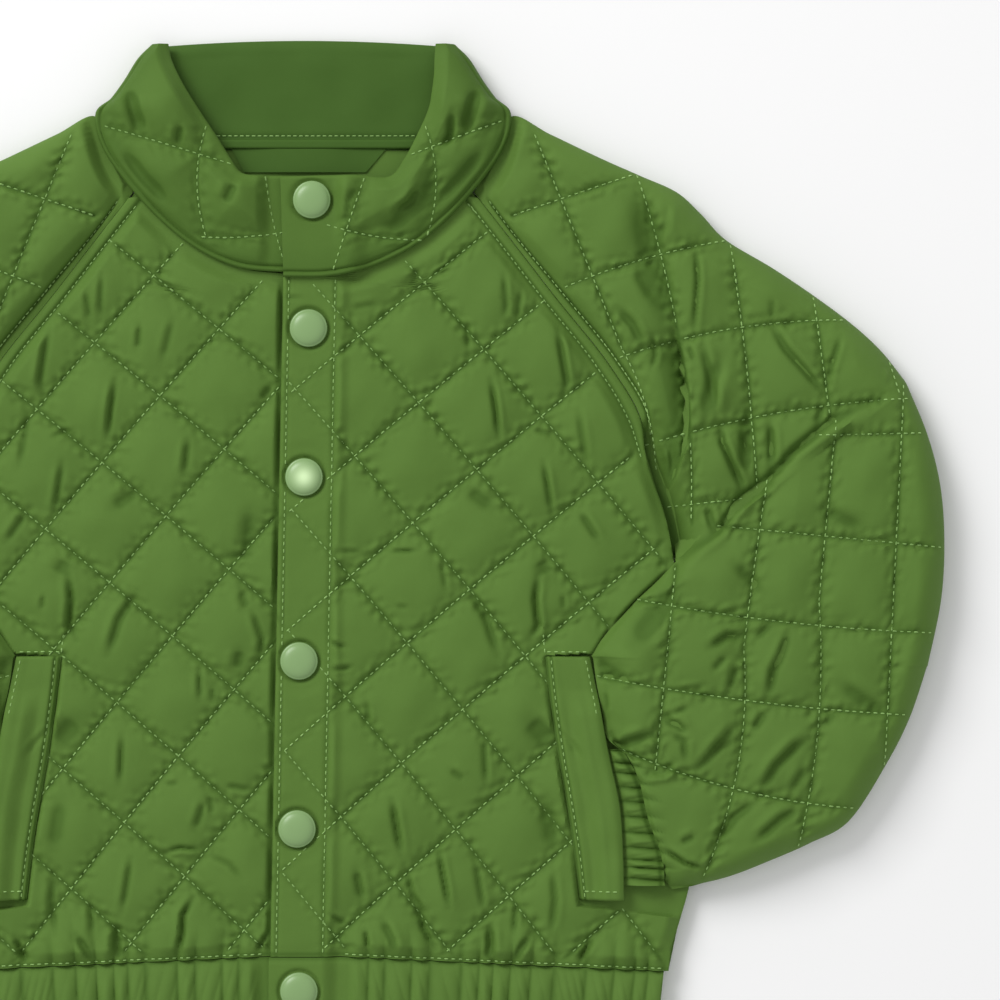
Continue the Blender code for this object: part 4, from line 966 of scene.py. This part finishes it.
# level, with a swell that dips at its edges, soft ripples and a shallow sewn row with painted shade in it
def makeBackCollar():
    look = innerLook
    u, t = downRows(150, -1), alongColumns(60)
    x = look["halfWidth"] * u + 0 * t
    y0, y1 = body["backNeckY"] + layers["gap"], body["collarTopY"] - look["topBow"] * u ** 2
    y = y0 + (y1 - y0) * t
    swell = curve([(0, -0.8), (0.06, -0.3), (0.3, -0.1), (0.6, -0.05), (0.85, -0.2), (0.95, -0.8),
                   (1, -2.0)], t + 0 * u)
    soft = look["soft"] * ripples(x, y, 26.0, 0.3) * smooth(np.minimum(t, 1 - t) * 6)
    row = bell(y - look["rowY"], 0.8)
    top = layers["backCollar"] + swell + soft - 0.1 - look["rowDepth"] * row
    piece = wall("collar_inner", x, y, top, 0 * top, coarse=10, marks=0.7 * row)
    return piece


# a strip 1 mm thick with rounded edges, over the back neck seam
def makeNeckTape():
    look = innerLook
    u, t = downRows(90), alongColumns(9)
    x = look["tapeFrom"] + (look["tapeTo"] - look["tapeFrom"]) * u + 0 * t
    y = body["backNeckY"] + 0.6 + look["tapeWidth"] * t + 0 * u
    top = layers["backCollar"] + 0.5 + 0.5 * rounded(np.minimum(t, 1 - t) * 4) + 0 * u
    piece = wall("neck_tape", x, y, top, 0 * top + layers["backCollar"], coarse=4)


# a strip below the tape, waved as cos(x / 9)
def makeBackFacing():
    t, u = downRows(16), alongColumns(60)
    x = -24 - 5 * t + (49 + 13 * t) * u
    low = innerLook["facingY"]
    y = low + (body["backNeckY"] + 0.5 - low) * t + 0 * u
    top = layers["frontFloor"] + 0.9 + 0.5 * np.cos(x / 9)
    piece = wall("back_facing", x, y, top, 0 * top + layers["frontFloor"], coarse=5)


bandLook = {"endX": 144.4, "pleats": 2.0, "fine": 0.5, "fineWave": 4.3, "level": 0.9, "drawnIn": 2.5}


# gathered elastic: the wall's swell plus the gathers of the cloth above it, which fade at
# the flat tab
def makeHemBand(side):
    look = bandLook
    edge = float(placketEdge(body["hemY"]))
    first = edge if side == "left" else -edge - body["underlap"]
    x0, t = downRows(330, first, look["endX"]), alongColumns(40)
    topY = hemSeam(x0) - layers["gap"]
    y = topY + (body["hemY"] - topY) * t
    lean = (x0 - first) / (144.5 - first)
    x = x0 - look["drawnIn"] * lean * t
    floor = frontFloor(side, x0, np.full_like(x0, body["hemY"])) + 0 * t
    swell = curve([(0, 0), (0.075, 0.8), (0.3, 1.5), (0.56, 1.7), (0.78, 1.5), (0.93, 0.7), (1, -1.0)],
                  t + 0 * x0)
    bunched = smooth((x0 - 16) / 6)
    hump = humps(x0, frontLook["wave"], 11)[0]
    pleats = look["pleats"] * hump + look["fine"] * humps(x0 + 0.3 * y, look["fineWave"], 12)[0]
    pleats = pleats * bunched * np.sin(pi * np.clip(t, 0.10, 0.96))
    flat = 1 - smooth((x0 - (16 if side == "left" else 2 - edge)) / 6)
    level = look["level"] if side == "left" else 0
    rise = (swell + pleats) * (1 - flat) + np.minimum(swell, level) * flat
    if side == "left":
        rise = rise - snapRing(x, y)
    top = np.maximum(floor + layers["seam"] + rise, floor + 0.8)
    # painted shade along the seam at the top and in the valleys of the gathers
    marks = np.maximum(0.8 * bell(t * 27, 1.2), 0.7 * bell(hump, 0.2) * bunched)
    piece = wall("hem_band_" + side, x, y, top, floor, side, coarse=6, marks=marks)


cuffLook = {"height": 13.0, "tucked": 2.3, "wave": 5.2, "pleats": 2.8, "fineWave": 2.9, "fine": 0.5,
            "tuck": 3.5, "underSeam": 1.3}


# x of a welt's seam (k = 1) or free side (k = 2)
def weltSide(k, y):
    return curve(sorted((row[0], row[k]) for row in weltRows), y)


# gathered rings of elastic, thin where they go in under the welt's free edge
def makeCuff(side):
    look = cuffLook
    y, t = downRows(170, cuffRows[0][0], cuffRows[-1][0] + 0.6), alongColumns(44)
    free = weltSide(2, y)
    seam = curve(sorted(cuffRows), y) + look["underSeam"]
    x = (free - look["tuck"]) + (seam - free + look["tuck"]) * t
    tucked = layers["overBody"] + look["tucked"]
    out = (x - free - 0.4) / np.maximum(seam - free - 0.4, 1)
    swell = curve([(0, 0), (0.35, 0.85), (0.7, 1.0), (1.0, 0.7)], np.clip(out, 0, 1))
    hump = humps(y + 0.06 * x, look["wave"], 31)[0]
    pleats = look["pleats"] * (hump - 0.5)
    pleats = pleats + look["fine"] * humps(y - 0.2 * x, look["fineWave"], 32)[0]
    top = tucked + (look["height"] - tucked) * swell + pleats * smooth(out / 0.3)
    # painted shade along the seam and in the valleys of the gathers
    marks = np.maximum(bell((1 - t) * (seam - free) - 1.3, 0.8), 0.95 * bell(hump, 0.28))
    piece = wall("cuff_" + side, x, y, top, layers["overBody"], side, coarse=6, marks=marks)


weltLook = {"seamLevel": 6.9, "thick": 2.4, "groove": 0.7, "cord": 2.2, "overCuff": 3.2, "soft": 0.12}
weltCreases = [(0.7, 1.2, (101.2, -78), (107.6, -84.8), (110.8, -89.6))]


# a folded strip, level with the front at its corded seam and raised over the cuff at
# its free edge
def makeWelt(side):
    look = weltLook
    upper, lower = weltRows[0][0], weltRows[-1][0]
    y, t = downRows(170, upper, lower), alongColumns(44)
    seam, free = weltSide(1, y), weltSide(2, y)
    x = seam + (free - seam) * t
    overCuff = smooth((weltRows[1][0] + 4 - y) / 12)
    level = look["seamLevel"] + (layers["overBody"] - look["seamLevel"]) * smooth(t / 0.2)
    floor = level + look["overCuff"] * overCuff * smooth((t - 0.3) / 0.35)
    places = (free - seam) * t
    swell = curve([(0, -1.0), (0.10, -0.2), (0.35, 0.0), (0.7, 0.1), (0.92, 0.0), (1, -0.9)], t + 0 * y)
    grooves = bell(places - 0.3, 0.5) + bell(places - look["cord"], 0.6)
    ends = 1.0 - rounded(np.minimum(y - lower, upper - y) / 1.2)
    top = floor + look["thick"] + swell - look["groove"] * grooves - 0.8 * ends
    top = top + look["soft"] * ripples(x, y, 15.0, 0.9) + creaseRelief(weltCreases, x, y)
    # painted shade in the two grooves
    piece = wall("pocket_welt_" + side, x, y, np.maximum(top, floor + 0.5), floor, side,
                 coarse=5, marks=np.clip(grooves, 0, 1))
    return piece


backLook = {"groove": 0.8, "grooveWidth": 1.8, "rim": 1.2, "rimWidth": 2.5,
            "bandPleats": 0.6, "bandWave": 10.5, "bandEndX": 143.5}


# the back rests flat on its quilted side: seams are grooves in the underside
def makeBackPanel():
    look = backLook
    y = downRows(190, float(hemSeam(146)), body["backNeckY"])
    half = bodyEdge(y) - np.where(y < body["raglanTopY"], 0, 1.2)
    x = half * alongColumns(180, -1)
    away = diamonds("left", np.abs(x), y)[2]
    groove = look["groove"] * bell(away, look["grooveWidth"])
    rim = look["rim"] * (1 - rounded(np.minimum(half - np.abs(x), 60) / look["rimWidth"]))
    piece = wall("back_panel", x, y, np.maximum(groove, rim), layers["back"], coarse=10)


# pleats sin(pi t) high in the underside, with its two ends drawn in
def makeHemBandBack():
    look = backLook
    x, t = downRows(300, -look["bandEndX"], look["bandEndX"]), alongColumns(20)
    top = float(hemSeam(146)) - layers["gap"]
    y = top + (body["hemY"] - top) * t
    pleats = look["bandPleats"] * humps(x, look["bandWave"], 13)[0] * np.sin(pi * t)
    drawnIn = 1.5 * np.sign(x) * t * (np.abs(x) > 140)
    piece = wall("hem_band_back", x - drawnIn, y, pleats, layers["back"], coarse=8)


fronts, sleeves, collars, welts = {}, {}, {}, {}
for side in signs:
    fronts[side] = makeFront(side)
    sleeves[side] = makeSleeve(side)
    collars[side] = makeCollar(side)
    welts[side] = makeWelt(side)
    makeHemBand(side)
    makeCuff(side)
backCollar = makeBackCollar()
makeNeckTape()
makeBackFacing()
makeBackPanel()
makeHemBandBack()
print("cloth made")


# radius and height of the cap, turned round its axis from a profile; one cap has a painted highlight, pale
# at its centre
snapLook = {"radius": 7.5, "rise": 2.6, "turns": 56, "paintedHighlight": 3, "paintedHighlightRadius": 0.5}


# rings of the profile's radii and heights, and a face at either end
def makeSnap(number, place):
    profile = np.array([
        (0.08, 1.0), (0.16, 0.99), (0.32, 0.965), (0.48, 0.915), (0.62, 0.83), (0.74, 0.72),
        (0.83, 0.58), (0.89, 0.44), (0.925, 0.32), (0.95, 0.30), (0.975, 0.27), (0.995, 0.18),
        (1.0, 0.09), (0.985, 0.0)])
    turn = np.linspace(0, 2 * pi, snapLook["turns"], endpoint=False)
    r, z = profile.T
    ring = np.stack([r[:, None] * np.cos(turn), r[:, None] * np.sin(turn)], -1) * snapLook["radius"]
    heights = np.broadcast_to((z * snapLook["rise"])[:, None, None], (*ring.shape[:2], 1))
    points = np.concatenate([ring, heights], -1).reshape(-1, 3)
    points = points + [place[0], place[1], place[2] + layers["gap"]]
    rows, columns = ring.shape[:2]
    index = np.arange(rows * columns).reshape(rows, columns)
    quads = gridFaces(np.concatenate([index, index[:, :1]], axis=1), True)
    rims = [index[0].tolist(), index[-1][::-1].tolist()]
    paintedHighlight = number == snapLook["paintedHighlight"]
    # painted highlight on one cap: its seam attribute is high at the centre
    marks = np.repeat(bell(r, snapLook["paintedHighlightRadius"]), columns) if paintedHighlight else None
    enamel = paintedHighlightSnapEnamel if paintedHighlight else snapEnamel
    piece = addMesh(f"snap_cap_{number}", points, quads, rims, enamel, marks)
    onRoot(piece, [f"snap_{number}"])


for number, place in enumerate(snapPlaces, start=1):
    makeSnap(number, place)
print("snaps made")


# pitch of the quilting and of the raglan row, the size of a thread, how clear it stays
# of snaps and of the sleeve's fold, and where the cloth is felt for its slope
sewing = {"pitch": 2.85, "raglanPitch": 2.37, "length": 1.9, "radius": 0.42, "dip": 0.34,
          "sink": 0.02, "clearOfSnap": 8.6, "clearOfStep": 1.3, "feel": 0.6, "steepest": 1.6}


# Points every pitch mm along a line that is given by many points, with directions
def spacedAlong(x, y, pitch):
    length = np.concatenate([[0], np.cumsum(np.hypot(np.diff(x), np.diff(y)))])
    at = np.arange(pitch / 2, length[-1], pitch)
    px, py = np.interp(at, length, x), np.interp(at, length, y)
    return px, py, np.interp(at + 0.2, length, x) - px, np.interp(at + 0.2, length, y) - py


# a rounded thread at each point, along its direction, three sides round with an edge up;
# its ends dip into the cloth
def stitches(name, centres, directions, material):
    turn = np.array([0.5, 1.167, 1.833]) * pi
    along = np.array([-0.5, -0.27, 0.27, 0.5]) * sewing["length"]
    girth = np.array([0.4, 1.0, 1.0, 0.4]) * sewing["radius"]
    dip = np.array([1.0, 0.0, 0.0, 1.0]) * sewing["dip"]
    directions = directions / np.linalg.norm(directions, axis=1, keepdims=True)
    side = np.cross(directions, [0, 0, 1.0])
    side /= np.linalg.norm(side, axis=1, keepdims=True)
    up = np.cross(side, directions)
    ring = (np.cos(turn)[None, :, None] * side[:, None, :]
            + np.sin(turn)[None, :, None] * up[:, None, :])
    points = (centres[:, None, None, :] + along[None, :, None, None] * directions[:, None, None, :]
              - dip[None, :, None, None] * up[:, None, None, :]
              + girth[None, :, None, None] * ring[:, None, :, :])
    around = np.arange(3)
    after = (around + 1) % 3
    side = np.stack([around, after, 3 + after, 3 + around], -1)
    sides = np.concatenate([3 * k + side for k in range(3)])
    first = 12 * np.arange(len(centres))
    quads = (sides[None] + first[:, None, None]).reshape(-1, 4)
    rims = np.concatenate([[2, 1, 0] + first[:, None], [9, 10, 11] + first[:, None]]).tolist()
    return addMesh(name, points.reshape(-1, 3), quads, rims, material)


# height of a piece straight under each point, and where a point misses it
def dropOn(tree, x, y):
    found = [tree.ray_cast((a * mm, b * mm, 0.1), (0, 0, -1))[0] for a, b in zip(x, y)]
    there = np.array([place is not None for place in found])
    return np.array([place.z / mm if place is not None else 0.0 for place in found]), there


# lines are (xs, ys, pitch) in the left side's plan; each is stitched on the piece where
# the cloth, felt a little way ahead and behind, is not too steep
def sew(name, piece, lines, side="left"):
    sign, feel = signs[side], sewing["feel"]
    mesh = piece.data
    tree = BVHTree.FromPolygons([v.co for v in mesh.vertices], [p.vertices for p in mesh.polygons])
    found = [spacedAlong(x, y, pitch) for x, y, pitch in lines if len(x) > 3]
    px, py, dx, dy = (np.concatenate(part) for part in zip(*found))
    step = np.hypot(dx, dy)
    px, py, dx, dy, step = (values[step > 1e-6] for values in (px, py, dx, dy, step))
    dx, dy = dx / step, dy / step
    z, there = dropOn(tree, sign * px, py)
    ahead, alsoThere = dropOn(tree, sign * (px + feel * dx), py + feel * dy)
    behind, third = dropOn(tree, sign * (px - feel * dx), py - feel * dy)
    slope = (ahead - behind) / (2 * feel)
    keep = there & alsoThere & third & (np.abs(slope) < sewing["steepest"])
    centres = np.stack([sign * px, py, z + sewing["sink"]], -1)[keep]
    directions = np.stack([sign * dx, dy, slope], -1)[keep]
    onRoot(stitches(name, centres, directions, stitchThread))


# x of a diagonal seam at each height, from p or q = n solved for x
def diagonal(side, n, family, y):
    column0, lean, row0 = quilt[side]
    width = quilt["halfWidth"] + quilt["taper"] * (y - quilt["midY"])
    half = family / (2 * width)
    offset = column0 + lean * (y - quilt["midY"])
    return (n - (row0 - y) / quilt["height"] + half * offset) / (half - quilt["droop"] / quilt["height"])


# the parts of a line where a condition holds
def runsWhere(ok, x, y, pitch):
    edges = np.flatnonzero(np.diff(np.concatenate([[0], ok.astype(int), [0]])))
    return [(x[a:b], y[a:b], pitch) for a, b in edges.reshape(-1, 2) if b - a > 12]


# the fold of the upper sleeve hides the stitches that it runs over
def clearOfStep(x, y, pitch):
    return runsWhere(alongRun(overlapStep, x, y)[0] > sewing["clearOfStep"], x, y, pitch)


# where a line is far enough from every cap
def clearOfSnaps(x, y):
    return fromSnap(x, y) > sewing["clearOfSnap"]


# the diagonals, the raglan row, the hem seam, a short line above the welt and one beside
# it, and on the left the placket's two rows
def frontLines(side):
    y = np.arange(-168, 146, 0.25)
    pitch = sewing["pitch"]
    lines = []
    for family in (1, -1):
        for n in range(-14, 14):
            x = diagonal(side, n, family, y)
            start = placketEdge(y) + 3.6 if side == "left" else -placketEdge(y) + 1
            ok = (x > start) & (bodyEdge(y) - x > 5.6) & (x < straight(coveredTable, y) + 3)
            ok &= y > hemSeam(x) + 3
            ok &= (y < curve(neckHeightTable, np.abs(x)) - 3) | (x > 79)
            if side == "left":
                ok &= clearOfSnaps(x, y)
            lines += runsWhere(ok, x, y, pitch)
    up = np.arange(30, 131, 0.5)
    lines.append((curve(bodyEdgeTable, up) - cordWidth(up) / 0.8, up, sewing["raglanPitch"]))
    across = np.arange(16, 144, 0.5)
    hem = hemSeam(across)
    lines += runsWhere(across < straight(coveredTable, hem) + 3, across, hem + 1.0, pitch)
    over = np.arange(97, 115, 0.5)
    lines.append((over, np.full_like(over, -47.6), pitch))
    lines.append((np.linspace(96, 97, 20), np.linspace(-40, -49, 20), pitch))
    if side == "left":
        down = np.arange(hemSeam(0) + 1, 101.5, 0.5)
        for offset in (body["placketWidth"], frontLook["placketRow"]):
            x = placketEdge(down) + offset
            lines += runsWhere(clearOfSnaps(x, down), x, down, pitch)
    return lines


# points of a bowed line
def bowed(line):
    t = np.linspace(0, 1, 120)
    dx, dy = line.x1 - line.x0, line.y1 - line.y0
    b = line.bow * 4 * t * (1 - t) / np.hypot(dx, dy)
    return line.x0 + t * dx - b * dy, line.y0 + t * dy + b * dx, sewing["pitch"]


# the row of topstitching beside the raglan seam, on the sleeve
def raglanRow():
    rows = between(upperSleeve, 8)[:, 6:78]
    seamX = sleeveSeam(rows[1])
    t = sleeveLook["strip"] / np.hypot(rows[2] - seamX, rows[3] - rows[1])
    x, y = seamX + (rows[2] - seamX) * t, rows[1] + (rows[3] - rows[1]) * t
    return x, y, sewing["raglanPitch"]


# the seam on the welt's cord, a row on its free edge above the cuff, and a bar below
def weltLines():
    y = np.arange(weltRows[0][0] - 1, weltRows[-1][0] + 1, -0.5)
    seamX, freeX = weltSide(1, y), weltSide(2, y)
    above = y > -74
    bar = np.linspace(seamX[-6] + 1.5, freeX[-6] - 1.5, 40)
    pitch = sewing["pitch"]
    return [(seamX + weltLook["cord"], y, pitch), (freeX[above] - 2.0, y[above], pitch),
            (bar, 0 * bar + y[-6], pitch)]


for side in signs:
    sew("stitches_front_" + side, fronts[side], frontLines(side), side)
    sleeveLines = [bowed(line) for line in forearmDown + forearmAcross] + [raglanRow()]
    for line in upperDown + upperAcross:
        sleeveLines += clearOfStep(*bowed(line))
    sew("stitches_sleeve_" + side, sleeves[side], sleeveLines, side)
    sew("stitches_collar_" + side, collars[side], [bowed(line) for line in collarSeams[side]], side)
    sew("stitches_pocket_welt_" + side, welts[side], weltLines(), side)
across = np.arange(-52, 52, 0.5)
row = (across, np.full_like(across, innerLook["rowY"]), sewing["raglanPitch"])
sew("stitches_lining", backCollar, [row])
print("sewing made")


stageLook = {"floor": (0.92, 0.92, 0.92), "floorHalf": 2.5, "floorZ": -0.0004,
             "cameraAt": (0.0788, 0.0132, 1.999), "lens": 179.0, "dome": 0.64}


# a pale square a little under the jacket
def makeFloor():
    mesh = bpy.data.meshes.new("floor")
    half, z = stageLook["floorHalf"], stageLook["floorZ"]
    corners = [(half * a, half * b, z) for a, b in ((-1, -1), (1, -1), (1, 1), (-1, 1))]
    mesh.from_pydata(corners, [], [(0, 1, 2, 3)])
    material = bpy.data.materials.new("paleFloor")
    material.use_nodes = True
    shader = material.node_tree.nodes["Principled BSDF"]
    shader.inputs["Base Color"].default_value = (*stageLook["floor"], 1)
    shader.inputs["Roughness"].default_value = 0.9
    mesh.materials.append(material)
    floor = bpy.data.objects.new("floor", mesh)
    bpy.context.scene.collection.objects.link(floor)


# a long lens straight above
def makeCamera():
    data = bpy.data.cameras.new("camera")
    data.lens = stageLook["lens"]
    data.sensor_width = 36.0
    data.clip_start, data.clip_end = 0.1, 20.0
    camera = bpy.data.objects.new("camera", data)
    camera.location = stageLook["cameraAt"]
    bpy.context.scene.collection.objects.link(camera)
    bpy.context.scene.camera = camera


# place, size and watts of each soft light
lights = {
    "keyUpperLeft": {"at": (-1.9, 1.9, 2.1), "size": 1.6, "watts": 82.0},
}


# soft lights aimed at the jacket's middle, and an even white surround
def makeLights():
    for name, look in lights.items():
        data = bpy.data.lights.new(name, "AREA")
        data.size = look["size"]
        data.energy = look["watts"]
        lamp = bpy.data.objects.new(name, data)
        lamp.location = look["at"]
        lamp.rotation_mode = "QUATERNION"
        lamp.rotation_quaternion = (-Vector(look["at"])).to_track_quat("-Z", "Y")
        bpy.context.scene.collection.objects.link(lamp)
    world = bpy.data.worlds.new("studio")
    world.use_nodes = True
    background = world.node_tree.nodes["Background"]
    background.inputs["Color"].default_value = (1, 1, 1, 1)
    background.inputs["Strength"].default_value = stageLook["dome"]
    bpy.context.scene.world = world
    bpy.context.scene.view_settings.view_transform = "Standard"


makeFloor()
makeCamera()
makeLights()
print("stage made")
